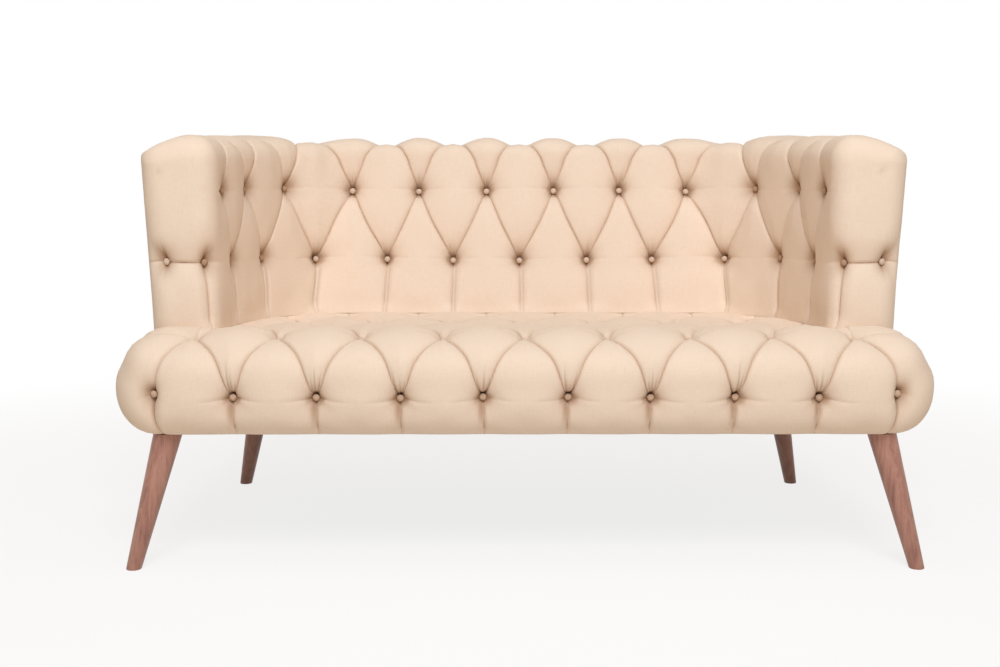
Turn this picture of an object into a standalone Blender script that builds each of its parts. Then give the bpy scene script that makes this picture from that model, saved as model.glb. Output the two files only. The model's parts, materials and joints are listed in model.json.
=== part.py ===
"""A two-seater sofa with deep diamond tufting, in metres, +Z up.

The sofa faces -Y and stands on z = 0, with the middle of its footprint at the origin.
Three tufted covers (seat, back and one for each arm) go over foam, webbing and a wooden frame,
and four splayed legs are held by hanger bolts in corner blocks.
"""

import bisect
import math

import bmesh
import bpy
from mathutils import Vector
from mathutils.bvhtree import BVHTree

# Fits between pieces
gap = 0.0003
overrun = 0.01
tiny = 0.000001
merge_distance = 0.00001

# Overall sizes
sofa_width = 1.40
sofa_depth = 0.757
leg_height = 0.223
seat_top = 0.388
arm_top = 0.731
back_rise = 0.016

# Seat slab: its edge rolls over at the front and both sides
roll_reach = 0.10
under_reach = 0.06
widest_height = 0.303
seat_padding = 0.038
hem_width = 0.0033

# Arms and back, measured to the crown of the padding
arm_inset = 0.044
arm_thickness = 0.120
arm_flare = 0.018
arm_front_setback = 0.150
arm_front_radius = 0.040
back_thickness = 0.217
back_lean_run = 0.1076
inner_sweep_across = 0.180
corner_sweep = 0.233
outer_corner_radius = 0.120
top_edge_radius = 0.045
panel_thickness = 0.004
padding = 0.045

# Tufting
end_tuft_inset = 0.07135
last_row_clear = 0.0375
last_side_clear = 0.0867
front_row_drop = 0.011
second_row_setback = 0.0825
lower_row_share = 0.318
upper_row_share = 0.711
crease_depth = 0.012
pit_depth = 0.020
pillow_reach = 0.055
pillow_sharpness = 2.5
pit_reach = 0.028
pit_sharpness = 1.33
seat_front_count = 10
seat_row_count = 4
mask_reach = 0.015
hem_reach = 0.025

# Tufts along the wall: how many on each side of the back's middle, and how many on an arm
back_half_count = 3
arm_count = 3
corner_tuft_away = 0.1345

# Covered buttons
button_radius = 0.0100
button_dome = 0.0035
button_cone = 0.0040
button_shank_radius = 0.0030
button_bulge_shares = ((0.55, 0.8), (0.9, 0.3))

# Legs
leg_foot_radius = 0.0129
leg_head_radius = 0.0248
front_leg_foot_inset = 0.0395
front_leg_foot_setback = 0.0233
rear_leg_foot_inset = 0.1029
rear_leg_foot_clear = 0.0560
splay_across_share = 0.2257
splay_along_share = 0.2499
bolt_radius = 0.004
bolt_length = 0.084
bolt_leg_share = 0.52
leg_sides = 24
bolt_sides = 12
button_sides = 14
button_rings = 4
corner_steps = 5

# Frame stock
rail_height = 0.060
rail_thickness = 0.028
block_size = 0.062
block_clear = 0.031
back_frame_inset = 0.002
back_frame_depth = 0.052
back_post_width = 0.045
back_rail_height = 0.055
back_foam_inset = 0.082
arm_board = 0.018
arm_board_border = 0.060
arm_foam_past_back = 0.060
web_thickness = 0.0015
web_width = 0.050
seat_web_counts = (8, 5)
back_web_counts = (7, 3)
dust_thickness = 0.0012
outer_corner_steps = 12
sweep_steps = 64

# Each material's name, colour, roughness and metallic value
finishes = (
    ("linen", (0.86, 0.72, 0.60), 0.9, 0.0),
    ("walnut", (0.35, 0.19, 0.13), 0.45, 0.0),
    ("beech", (0.72, 0.55, 0.36), 0.6, 0.0),
    ("zinc_plated_steel", (0.70, 0.70, 0.72), 0.35, 1.0),
    ("webbing", (0.20, 0.17, 0.15), 0.9, 0.0),
    ("foam", (0.92, 0.86, 0.62), 0.95, 0.0),
    ("dust_cloth", (0.04, 0.04, 0.045), 0.95, 0.0),
)

# Lengths along the surfaces, worked out from the sizes above
seat_bottom = leg_height + gap
back_top = arm_top + back_rise
back_lean = back_lean_run / (back_top - seat_top - gap)
seat_foam_height = seat_top - seat_padding
flat_half = sofa_width / 2 - roll_reach
tuft_spacing = (sofa_width - 2 * end_tuft_inset) / (seat_front_count - 1)
back_foot_setback = sofa_depth - back_thickness
row_spacing = (back_foot_setback - last_row_clear - second_row_setback) / (seat_row_count - 1)
arm_foot_half = sofa_width / 2 - arm_inset
arm_head_half = arm_foot_half + arm_flare
arm_inner_half = arm_foot_half - arm_thickness
roll_rise = seat_top - widest_height
roll_drop = widest_height - seat_bottom
upper_roll = math.pi / 2 * math.sqrt((roll_reach ** 2 + roll_rise ** 2) / 2)
lower_roll = math.pi / 2 * math.sqrt((under_reach ** 2 + roll_drop ** 2) / 2)
front_row_away = upper_roll + front_row_drop
foot = seat_top + gap
cover_rear = sofa_depth - panel_thickness - gap
corner_start = arm_inner_half - inner_sweep_across
corner_end = corner_start + corner_sweep
face_rise = arm_top - top_edge_radius - foot
mid_back = back_foot_setback + back_lean * face_rise / 2
arm_front_line = arm_front_setback + arm_front_radius
sweep_along = mid_back - arm_front_line
sweep_turns = [math.pi / 2 * index / sweep_steps for index in range(sweep_steps + 1)]
sweep_speeds = [math.hypot(inner_sweep_across * math.cos(at), sweep_along * math.sin(at)) for at in sweep_turns]
sweep_lengths = [sum(sweep_speeds[:index]) * sweep_turns[1] for index in range(sweep_steps + 1)]
arm_end = corner_start + sweep_lengths[-1]
front_turn = math.pi / 2 * arm_front_radius
front_face_end = arm_end + front_turn + arm_head_half - arm_inner_half - 2 * arm_front_radius
wall_end = front_face_end + front_turn
corner_place = corner_start + corner_tuft_away
back_spacing = corner_place / (back_half_count + 1 / 2)
arm_spacing = (arm_end + front_turn / 2 - corner_place) / (arm_count - 1 / 2)
lower_row_places = [back_spacing * index for index in range(back_half_count + 1)]
lower_row_places += [corner_place + arm_spacing * (index + 1 / 2) for index in range(arm_count)]
upper_row_places = [back_spacing * (index + 1 / 2) for index in range(back_half_count)]
upper_row_places += [corner_place + arm_spacing * index for index in range(arm_count)]
over_length = cover_rear - back_foot_setback - back_lean * face_rise + top_edge_radius
crest_share = 0.62
lower_tuft_rise = (arm_top - seat_top) * lower_row_share - gap
upper_tuft_rise = (arm_top - seat_top) * upper_row_share - gap
crest_rise = face_rise + over_length * crest_share
edge_rise = face_rise + over_length
rim_end = upper_roll + lower_roll
seat_rear = sofa_depth
frame_half = sofa_width / 2 - under_reach - hem_width
frame_front = under_reach + hem_width - sofa_depth / 2
frame_rear = seat_rear - hem_width - sofa_depth / 2
frame_top = seat_bottom + rail_height
rear_leg_foot_half = sofa_width / 2 - rear_leg_foot_inset
rear_leg_foot_setback = sofa_depth - rear_leg_foot_clear
rear_leg_head_half = rear_leg_foot_half - splay_across_share * leg_height
rear_leg_head_setback = rear_leg_foot_setback - splay_along_share * leg_height
rear_block_width = frame_half - rear_leg_head_half + block_clear
rear_block_length = seat_rear - hem_width - rear_leg_head_setback + block_clear
back_frame_half = arm_foot_half - outer_corner_radius - back_frame_inset
back_foam_half = arm_inner_half - back_foam_inset
arm_foam_rear = back_foot_setback + arm_foam_past_back

# How the cells are divided: shares of a cell's width, from crease to crease
seat_columns = (0, 0.22, 0.5, 0.78, 1)
half_columns = (0, 0.44, 1)
wall_columns = (0, 0.12, 0.3, 0.5, 0.7, 0.88, 1)
half_wall_columns = (0, 0.24, 0.6, 1)
face_columns = (0, 0.2, 0.4, 0.55, 0.7, 0.85, 1)

# How many bands of quads a cell has between one node of its sides and the next
seat_bands = (3, 3)
seat_rear_bands = (3, 2)
side_columns = 3
pillow_bands = (4, 4)
diamond_bands = (4, 3)
crest_bands = (3, 2)
face_bands = (4, 3, 2)
smooth_angle = math.radians(40)


def material(name, colour, roughness, metallic):
    made = bpy.data.materials.new(name)
    made.use_nodes = True
    shader = made.node_tree.nodes["Principled BSDF"]
    shader.inputs["Base Color"].default_value = (*colour, 1.0)
    shader.inputs["Roughness"].default_value = roughness
    shader.inputs["Metallic"].default_value = metallic
    made.diffuse_color = (*colour, 1.0)
    return made


def add_object(name, made, mesh_maker):
    """Put a closed mesh into the scene as one named sub-part."""
    mesh = bpy.data.meshes.new(name)
    shape = bmesh.new()
    mesh_maker(shape)
    bmesh.ops.remove_doubles(shape, verts=shape.verts, dist=merge_distance)
    bmesh.ops.recalc_face_normals(shape, faces=shape.faces)
    shape.to_mesh(mesh)
    shape.free()
    mesh.materials.append(made)
    item = bpy.data.objects.new(name, mesh)
    bpy.context.collection.objects.link(item)
    return item


def shade_round(item):
    item.data.shade_smooth()
    item.data.set_sharp_from_angle(angle=smooth_angle)


def prism(shape, outline, low, high):
    """An outline of (x, y) points between two heights."""
    bottom = [shape.verts.new((x, y, low)) for x, y in outline]
    top = [shape.verts.new((x, y, high)) for x, y in outline]
    shape.faces.new(bottom)
    shape.faces.new(top)
    for index in range(len(outline)):
        after = (index + 1) % len(outline)
        shape.faces.new((bottom[index], bottom[after], top[after], top[index]))


def rectangle(left, front, right, rear):
    return [(left, front), (right, front), (right, rear), (left, rear)]


def block(shape, low, high):
    prism(shape, rectangle(low[0], low[1], high[0], high[1]), low[2], high[2])


def from_front(setback):
    """The y of a place given by its distance behind the frontmost point."""
    return setback - sofa_depth / 2


def cut(item, cutter):
    """Take a cutter out of an item and leave the cutter as a hidden guide."""
    cutter.hide_render = True
    cutter.display_type = "WIRE"
    modifier = item.modifiers.new("cut_" + cutter.name, "BOOLEAN")
    modifier.operation = "DIFFERENCE"
    modifier.solver = "EXACT"
    modifier.object = cutter


# The seat surface: a flat top whose edges roll over and under


def roll_profile(away):
    """Reach, height and normal at a distance along the roll from the flat top."""
    if away < upper_roll:
        angle = away / upper_roll * math.pi / 2
        reach = roll_reach * math.sin(angle)
        height = widest_height + roll_rise * math.cos(angle)
        normal = (math.sin(angle) / roll_reach, math.cos(angle) / roll_rise)
    else:
        angle = (away - upper_roll) / lower_roll * math.pi / 2
        reach = roll_reach - under_reach * (1 - math.cos(angle))
        height = widest_height - roll_drop * math.sin(angle)
        normal = (math.cos(angle) / under_reach, -math.sin(angle) / roll_drop)
    size = math.hypot(*normal)
    return reach, height, normal[0] / size, normal[1] / size


def seat_point(across, along, sink):
    """A point of the seat from its flat-pattern place, sunk below the crown."""
    side = 1 if across >= 0 else -1
    beside = max(abs(across) - flat_half, 0)
    before = max(roll_reach - along, 0)
    away = math.hypot(beside, before)
    if away < tiny:
        place = Vector((across, from_front(along), seat_top))
        normal = Vector((0, 0, 1))
    else:
        reach, height, outward, upward = roll_profile(away)
        toward = Vector((side * beside / away, -before / away))
        x = min(abs(across), flat_half) * side + toward.x * reach
        y = from_front(max(along, roll_reach)) + toward.y * reach
        place = Vector((x, y, height))
        normal = Vector((toward.x * outward, toward.y * outward, upward))
    return place - normal * sink, normal


def rim_place(distance, away):
    """The flat-pattern place on the roll at a distance round the seat's rim."""
    side = 1 if distance >= 0 else -1
    round_rim = abs(distance)
    corner = math.pi / 2 * roll_reach
    if round_rim <= flat_half:
        return Vector((distance, roll_reach - away))
    if round_rim <= flat_half + corner:
        turn = (round_rim - flat_half) / roll_reach
        return Vector((side * (flat_half + away * math.sin(turn)), roll_reach - away * math.cos(turn)))
    return Vector((side * (flat_half + away), roll_reach + round_rim - flat_half - corner))


# The wall surface: back and arms in one sweep, by distance from the middle and by rise


def sweep_turn(length):
    """How far round its quarter ellipse the inner sweep has turned at a length along it."""
    index = min(bisect.bisect_right(sweep_lengths, length), sweep_steps)
    start, stop = sweep_lengths[index - 1], sweep_lengths[index]
    share = min((length - start) / (stop - start), 1)
    return sweep_turns[index - 1] + (sweep_turns[index] - sweep_turns[index - 1]) * share


def inner_plan(distance, height):
    """The padding's crown line in plan, for the right half: the back sweeps round into the arm."""
    rear = back_foot_setback + back_lean * (height - foot)
    if distance <= corner_start:
        return Vector((distance, rear))
    if distance <= arm_end:
        turn = sweep_turn(distance - corner_start)
        return Vector((
            corner_start + inner_sweep_across * math.sin(turn),
            rear - (rear - arm_front_line) * (1 - math.cos(turn)),
        ))
    outer = outer_half(height)
    if distance <= arm_end + front_turn:
        turn = (distance - arm_end) / arm_front_radius
        return Vector((
            arm_inner_half + arm_front_radius * (1 - math.cos(turn)),
            arm_front_line - arm_front_radius * math.sin(turn),
        ))
    face_start = arm_inner_half + arm_front_radius
    face_stop = outer - arm_front_radius
    if distance <= front_face_end:
        share = (distance - arm_end - front_turn) / (front_face_end - arm_end - front_turn)
        return Vector((face_start + (face_stop - face_start) * share, arm_front_setback))
    turn = (distance - front_face_end) / arm_front_radius
    return Vector((
        face_stop + arm_front_radius * math.sin(turn),
        arm_front_line - arm_front_radius * math.cos(turn),
    ))


def outer_half(height):
    """Half the width over the arms, which flare a little upwards."""
    share = (height - foot) / (arm_top - foot)
    return arm_foot_half + (arm_head_half - arm_foot_half) * share


def outer_plan(distance, height):
    """The outer edge of the wall across from a place on its inner side."""
    outer = outer_half(height)
    inner = inner_plan(distance, height)
    if distance <= corner_start:
        return Vector((inner.x, cover_rear))
    if distance >= corner_end:
        return Vector((outer, max(inner.y, arm_front_line)))
    rear_end = inner_plan(corner_end, height).y
    first = outer - outer_corner_radius - corner_start
    middle = math.pi / 2 * outer_corner_radius
    last = cover_rear - outer_corner_radius - rear_end
    share = (distance - corner_start) / (corner_end - corner_start)
    along = (first + middle / 2) * 2 * share
    if share > 1 / 2:
        along = first + middle / 2 + (last + middle / 2) * (2 * share - 1)
    if along <= first:
        return Vector((corner_start + along, cover_rear))
    if along <= first + middle:
        turn = (along - first) / outer_corner_radius
        return Vector((
            outer - outer_corner_radius * (1 - math.sin(turn)),
            cover_rear - outer_corner_radius * (1 - math.cos(turn)),
        ))
    return Vector((outer, cover_rear - outer_corner_radius - (along - first - middle)))


def beyond_sweep(across, along, reach):
    """How far a plan point lies outside the inner sweep's quarter ellipse."""
    turned_out = math.hypot(across / inner_sweep_across, along / reach)
    steepness = math.hypot(across / inner_sweep_across ** 2, along / reach ** 2) / max(turned_out, tiny)
    return (turned_out - 1) / max(steepness, tiny)


def inside_wall(x, y, height):
    """How far a plan point lies inside the wall's footprint; negative outside."""
    across = abs(x)
    rear = back_foot_setback + back_lean * (height - foot)
    outer = outer_half(height)
    if across <= corner_start:
        from_inner = y - rear
    elif y > arm_front_line:
        from_inner = beyond_sweep(across - corner_start, y - arm_front_line, rear - arm_front_line)
    else:
        from_inner = across - arm_inner_half
    from_outer = min(outer - across, cover_rear - y)
    if across > outer - outer_corner_radius and y > cover_rear - outer_corner_radius:
        from_outer = outer_corner_radius - math.hypot(
            across - outer + outer_corner_radius, y - cover_rear + outer_corner_radius
        )
    from_front_face = y - arm_front_setback
    if y < arm_front_line:
        into = arm_front_line - y
        beside = max(arm_inner_half + arm_front_radius - across, across - outer + arm_front_radius, 0)
        from_front_face = arm_front_radius - math.hypot(into, beside)
    return min(from_inner, from_outer, from_front_face)


def crest_height(along):
    """The wall's top, which rises a little from the arms' fronts to the back."""
    share = (along - arm_front_setback) / (cover_rear - arm_front_setback)
    return arm_top + (back_top - arm_top) * min(max(share, 0), 1)


def wall_crown(distance, rise):
    """A point on the crown surface of the wall, from its flat-pattern place."""
    side = 1 if distance >= 0 else -1
    away = min(abs(distance), wall_end)
    climb = min(rise, face_rise)
    lift = (crest_height(inner_plan(away, foot + climb).y) - top_edge_radius - foot) / face_rise
    height = foot + climb * lift
    inner = inner_plan(away, height)
    if rise <= face_rise:
        return Vector((side * inner.x, from_front(inner.y), height))
    outer = outer_plan(away, height)
    span = (outer - inner).length
    radius = min(top_edge_radius, span / 2)
    level = span - 2 * radius
    quarter = math.pi / 2 * radius
    gone = (rise - face_rise) / over_length * (2 * quarter + level)
    if gone < quarter:
        share = (1 - math.cos(gone / max(radius, tiny))) * radius
    elif gone < quarter + level:
        share = radius + gone - quarter
    else:
        share = span - radius + radius * math.sin((gone - quarter - level) / max(radius, tiny))
    place = inner.lerp(outer, share / max(span, tiny))
    inside = min(max(inside_wall(place.x, place.y, height), 0), top_edge_radius)
    slack = 1 - inside / top_edge_radius
    drop = top_edge_radius * (1 - math.sqrt(1 - slack ** 2))
    return Vector((side * place.x, from_front(place.y), crest_height(place.y) - drop))


def wall_point(distance, rise, sink):
    """A point of the wall sunk below its crown, with the outward normal there."""
    place = wall_crown(distance, rise)
    if sink < tiny:
        return place, Vector((0, 0, 1))
    step = gap
    along = wall_crown(distance + step, rise) - wall_crown(distance - step, rise)
    up = wall_crown(distance, rise + step) - wall_crown(distance, rise - step)
    normal = along.cross(up)
    if normal.length < tiny ** 2:
        return place, Vector((0, 0, 1))
    normal.normalize()
    return place - normal * sink, normal


# Tufting: pillows between creases, with a pit at each button


def nearest(point, segment):
    start, stop = segment
    line = stop - start
    share = (point - start).dot(line) / line.length_squared
    return (point - start - line * min(max(share, 0), 1)).length


def tuft_sink(point, creases, buttons):
    """How far the cloth lies below the crown at a flat-pattern place."""
    from_crease = min((nearest(point, crease) for crease in creases), default=pillow_reach)
    sink = crease_depth * (1 - min(from_crease / pillow_reach, 1)) ** pillow_sharpness
    for button in buttons:
        from_button = (point - button).length
        sink += pit_depth * math.exp(-((from_button / pit_reach) ** pit_sharpness))
    return sink


def arm_surface(point, creases, buttons):
    """The wall's cloth on an arm, kept clear of the back's at the seam in the corner."""
    return wall_surface(Vector((max(point.x, corner_place + gap), point.y)), creases, buttons)


class Cloth:
    """A sheet of cloth meshed cell by cell, whose cells share the corners between them."""

    def __init__(self, shape, surface):
        self.shape = shape
        self.surface = surface
        self.corners = {}

    def settle(self, point):
        """Where a corner really lies; a sheet with a gathered end moves its corners there."""
        return point

    def corner(self, point, creases, buttons):
        point = self.settle(point)
        key = (round(point.x / gap), round(point.y / gap))
        if key not in self.corners:
            place = self.surface(point, creases, buttons)
            self.corners[key] = (self.shape.verts.new(place), point.copy())
        return self.corners[key][0]

    def cell(self, left, right, buttons, columns, rows, plain=(), level=None):
        """Mesh the cell between two chains of nodes; a plain side has no crease."""
        level = level or (lambda node, at: left[node].lerp(right[node], at))
        chains = [chain for name, chain in (("left", left), ("right", right)) if name not in plain]
        creases = [
            (start, stop) for chain in chains for start, stop in zip(chain, chain[1:])
            if (stop - start).length > gap
        ]
        if "foot" in plain:
            creases.append((left[-1], right[-1]))
        if "head" in plain:
            creases.append((left[0], right[0]))
        grid = []
        for span, count in enumerate(rows):
            for index in range(0 if span == 0 else 1, count + 1):
                points = [level(span, at).lerp(level(span + 1, at), index / count) for at in columns]
                grid.append([self.corner(point, creases, buttons) for point in points])
        for lower, upper in zip(grid, grid[1:]):
            for index in range(len(columns) - 1):
                ring = [lower[index], lower[index + 1], upper[index + 1], upper[index]]
                ring = [vert for at, vert in enumerate(ring) if vert is not ring[at - 1]]
                if len(ring) > 2:
                    self.shape.faces.new(ring)

    def row(self, test, order):
        """The corners whose flat-pattern places pass a test, in order."""
        chosen = [(order(point), vert) for vert, point in self.corners.values() if test(point)]
        return [vert for _, vert in sorted(chosen, key=lambda pair: pair[0])]


class ArmCloth(Cloth):
    """An arm's cloth, which is gathered at the top corner of the arm's outer front."""

    def settle(self, point):
        on_edge = point.y > edge_rise - gap and point.x > arm_end
        at_corner = point.x > wall_end - gap and point.y > face_rise
        if on_edge or at_corner:
            return Vector((arm_end, edge_rise))
        return point


def seat_surface(point, creases, buttons):
    """Seat cloth: tufted, and flat where the arms and the back stand on it."""
    sink = tuft_sink(point, creases, buttons)
    away = math.hypot(max(abs(point.x) - flat_half, 0), max(roll_reach - point.y, 0))
    sink *= min(max((rim_end - away) / hem_reach, 0), 1)
    on_crown, _ = seat_point(point.x, point.y, 0)
    if on_crown.z > seat_top - mask_reach:
        inside = inside_wall(on_crown.x, on_crown.y + sofa_depth / 2, foot)
        sink *= 1 - min(max(inside / mask_reach + 1, 0), 1)
    return seat_point(point.x, point.y, sink)[0]


def wall_surface(point, creases, buttons):
    """Wall cloth: tufted, with a level foot that stands on the seat."""
    place = wall_point(point.x, point.y, tuft_sink(point, creases, buttons))[0]
    place.z = foot if point.y < gap else max(place.z, foot)
    return place


def turned(columns):
    """A cell's column shares read from its other side."""
    return tuple(1 - at for at in reversed(columns))


def seat_setbacks():
    return [second_row_setback + row_spacing * index for index in range(seat_row_count)]


def front_places():
    """Where the front row's tufts lie across the seat."""
    half_count = seat_front_count // 2
    return [(index + 1 / 2) * tuft_spacing for index in range(-half_count, half_count)]


def seat_front_cells(cloth):
    """The pillows along the rolled front, each under one tuft of the second row."""
    front = front_places()
    for first, second in zip(front, front[1:]):
        apex = Vector(((first + second) / 2, second_row_setback))
        left, right = [
            [rim_place(place, rim_end), rim_place(place, front_row_away), apex] for place in (first, second)
        ]
        level = rim_level(first, second, apex)
        cloth.cell(left, right, [left[1], right[1], apex], seat_columns, seat_bands, level=level)


def rim_level(first, second, apex):
    """The level lines of a pillow on the roll, which follow the rim round its corners."""

    def level(node, at):
        if node == 2:
            return apex.copy()
        return rim_place(first + (second - first) * at, rim_end if node == 0 else front_row_away)

    return level


def seat_top_cells(cloth):
    """The diamonds on the top, row by row, out to a straight line under the arms."""
    edge = max(front_places()) - tuft_spacing / 2
    levels = [roll_reach - front_row_away] + seat_setbacks()
    for row in range(len(levels) - 1):
        count = seat_front_count - 1 if row % 2 == 1 else seat_front_count - 2
        for index in range(count):
            middle = (index - (count - 1) / 2) * tuft_spacing
            low = Vector((middle, levels[row]))
            left = [low, Vector((middle - tuft_spacing / 2, levels[row + 1]))]
            right = [low, Vector((middle + tuft_spacing / 2, levels[row + 1]))]
            buttons = [low, left[1], right[1]]
            rows = seat_bands
            if row + 2 < len(levels):
                top = Vector((middle, levels[row + 2]))
                buttons.append(top)
                ends = (top, top)
            else:
                ends = [Vector((chain[1].x, seat_rear)) for chain in (left, right)]
                rows = seat_rear_bands
            left.append(ends[0])
            right.append(ends[1])
            if abs(middle) < edge - gap:
                cloth.cell(left, right, buttons, seat_columns, rows)
                continue
            straight = [Vector((middle, node.y)) for node in left]
            if middle > 0:
                cloth.cell(left, straight, [low, left[1]], half_columns, rows, plain=("right",))
            else:
                cloth.cell(straight, right, [low, right[1]], turned(half_columns), rows, plain=("left",))


def seat_side_bands(cloth):
    """The two corner pillows, and the bands from under the arms over the sides."""
    front_end = max(front_places())
    edge = front_end - tuft_spacing / 2
    setbacks = seat_setbacks()
    inner_stops = setbacks + [(seat_rear + setbacks[-1]) / 2, seat_rear]
    rim_length = flat_half + math.pi / 2 * roll_reach + seat_rear - roll_reach
    first_stop = front_end + tuft_spacing
    side_spacing = (rim_length - last_side_clear - first_stop) / seat_row_count
    rim_stops = [first_stop + side_spacing * index for index in range(seat_row_count + 1)]
    rim_stops.append(rim_length)
    for side in (-1, 1):
        chains = [
            [
                rim_place(side * rim_stop, rim_end),
                rim_place(side * rim_stop, front_row_away),
                Vector((side * edge, inner_stop)),
            ]
            for inner_stop, rim_stop in zip(inner_stops, rim_stops)
        ]
        corner = [rim_place(side * front_end, rim_end), rim_place(side * front_end, front_row_away)]
        corner.append(chains[0][2])
        buttons = [corner[1], corner[2], chains[0][1]]
        pair = (corner, chains[0]) if side > 0 else (chains[0], corner)
        stops = sorted((side * front_end, side * rim_stops[0]))
        cloth.cell(*pair, buttons, seat_columns, seat_bands, level=rim_level(*stops, corner[2]))
        for index, (first, second) in enumerate(zip(chains, chains[1:])):
            count = side_columns if index < len(setbacks) - 1 else 1
            columns = [step / count for step in range(count + 1)]
            last = index + 2 == len(chains)
            buttons = [first[1]] if last else [first[1], second[1]]
            pair = (first, second)
            plain = ("right",) if last else ()
            if side < 0:
                pair = (second, first)
                plain = ("left",) if last else ()
            cloth.cell(*pair, buttons, columns, seat_bands, plain=plain)


def face_round(shape, verts, centre, axes):
    """One flat face through some corners, taken in turn round a centre."""
    first, second = axes

    def turn(vert):
        return math.atan2(vert.co[second] - centre[second], vert.co[first] - centre[first])

    shape.faces.new(sorted(verts, key=turn))


def seat_form(shape):
    cloth = Cloth(shape, seat_surface)
    seat_front_cells(cloth)
    seat_top_cells(cloth)
    seat_side_bands(cloth)
    open_verts = {vert for edge in shape.edges if edge.is_boundary for vert in edge.verts}
    rear_y = from_front(seat_rear)
    rear = [vert for vert in open_verts if abs(vert.co.y - rear_y) < gap]
    under = [vert for vert in open_verts if abs(vert.co.z - seat_bottom) < gap]
    face_round(shape, rear, Vector((0, 0, seat_bottom)), (0, 2))
    face_round(shape, under, Vector((0, 0, 0)), (0, 1))


# The wall's cells, for the back and for either arm


def mirrored(places):
    return [-place for place in reversed(places) if place > gap] + list(places)


def back_cells(cloth):
    """The back's pillows, ending half way through the ones in the corners."""
    lower = mirrored(lower_row_places[:back_half_count + 1])
    upper = mirrored(upper_row_places[:back_half_count + 1])
    beside = [None, *lower, None]
    for place, left_place, right_place in zip(upper, beside, beside[1:]):
        add_low_and_high(cloth, place, left_place, right_place)
    for place, left_place, right_place in zip(lower, upper, upper[1:]):
        add_diamond(cloth, place, left_place, right_place)


def add_diamond(cloth, place, left_place, right_place):
    """A full diamond on the face, from a lower tuft to the crest above it."""
    low = Vector((place, lower_tuft_rise))
    top = Vector((place, crest_rise))
    left = [low, Vector((left_place, upper_tuft_rise)), top]
    right = [low, Vector((right_place, upper_tuft_rise)), top]
    cloth.cell(left, right, [low, left[1], right[1]], wall_columns, diamond_bands)


def add_low_and_high(cloth, place, left_place, right_place):
    """The pillow under an upper tuft and the one above it, whole or cut off at the corner."""
    apex = Vector((place, upper_tuft_rise))
    columns = wall_columns
    plain = ()
    if left_place is None:
        left_place = place
        columns = turned(half_wall_columns)
        plain = ("left",)
    if right_place is None:
        right_place = place
        columns = half_wall_columns
        plain = ("right",)
    left_low = [Vector((left_place, 0)), Vector((left_place, lower_tuft_rise)), apex]
    right_low = [Vector((right_place, 0)), Vector((right_place, lower_tuft_rise)), apex]
    buttons = [chain[1] for name, chain in (("left", left_low), ("right", right_low)) if name not in plain]
    cloth.cell(left_low, right_low, buttons + [apex], columns, pillow_bands, plain)
    left_high = [apex, Vector((left_place, crest_rise)), Vector((left_place, edge_rise))]
    right_high = [apex, Vector((right_place, crest_rise)), Vector((right_place, edge_rise))]
    cloth.cell(left_high, right_high, [apex], columns, crest_bands, plain)


def arm_cells(cloth):
    """One arm's pillows, from the middle of the corner round to the arm's outer edge."""
    lower = lower_row_places[back_half_count + 1:]
    upper = upper_row_places[back_half_count:]
    add_low_and_high(cloth, upper[0], None, lower[0])
    for index in range(1, len(upper)):
        add_low_and_high(cloth, upper[index], lower[index - 1], lower[index])
        add_diamond(cloth, lower[index - 1], upper[index - 1], upper[index])
    low = Vector((lower[-1], lower_tuft_rise))
    front = [Vector((lower[-1], 0)), low]
    outer = [Vector((wall_end, 0)), Vector((wall_end, lower_tuft_rise))]
    cloth.cell(front, outer, [low], face_columns, pillow_bands[:1], plain=("right", "foot"))
    above = [low, Vector((upper[-1], upper_tuft_rise))]
    above += [Vector((lower[-1], rise)) for rise in (crest_rise, edge_rise)]
    beside = [outer[1]] + [Vector((wall_end, node.y)) for node in above[1:]]
    cloth.cell(above, beside, [low, above[1]], face_columns, face_bands, plain=("right", "head"))


def wall_form(shape, cloth, ends):
    """Close a stretch of wall: down its outer side, under its foot and across its ends."""
    foot_row = cloth.row(lambda point: point.y < gap, lambda point: point.x)
    edge_row = cloth.row(lambda point: point.y > edge_rise - gap, lambda point: point.x)
    edge_places = sorted(point.x for _, point in cloth.corners.values() if point.y > edge_rise - gap)
    below = []
    seam = corner_place + gap if ends[0] > 0 else 0
    for place in edge_places:
        side = 1 if place >= 0 else -1
        outer = outer_plan(max(abs(place), seam), foot)
        below.append(shape.verts.new((side * outer.x, from_front(outer.y), foot)))
    last = len(edge_row) - 1
    if ends[1] > arm_end:
        shape.verts.remove(below.pop())
        front_edge = cloth.row(lambda point: point.x > wall_end - gap, lambda point: -point.y)
        last -= 1
        shape.faces.new([edge_row[last], edge_row[last + 1]] + front_edge + [below[last]])
    for index in range(last):
        shape.faces.new((edge_row[index], edge_row[index + 1], below[index + 1], below[index]))
    shape.faces.new(foot_row + below[::-1])
    for end, corner in zip(ends, (below[0], below[-1])):
        if end > arm_end:
            continue
        side_row = cloth.row(lambda point: abs(point.x - end) < gap, lambda point: point.y)
        face = shape.faces.new(side_row + [corner])
        bmesh.ops.poke(shape, faces=[face])


def back_form(shape):
    cloth = Cloth(shape, wall_surface)
    back_cells(cloth)
    wall_form(shape, cloth, (-corner_place, corner_place))


def arm_form(shape, side):
    cloth = ArmCloth(shape, arm_surface)
    arm_cells(cloth)
    wall_form(shape, cloth, (corner_place, wall_end))
    for vert in shape.verts:
        vert.co.x *= side


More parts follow.
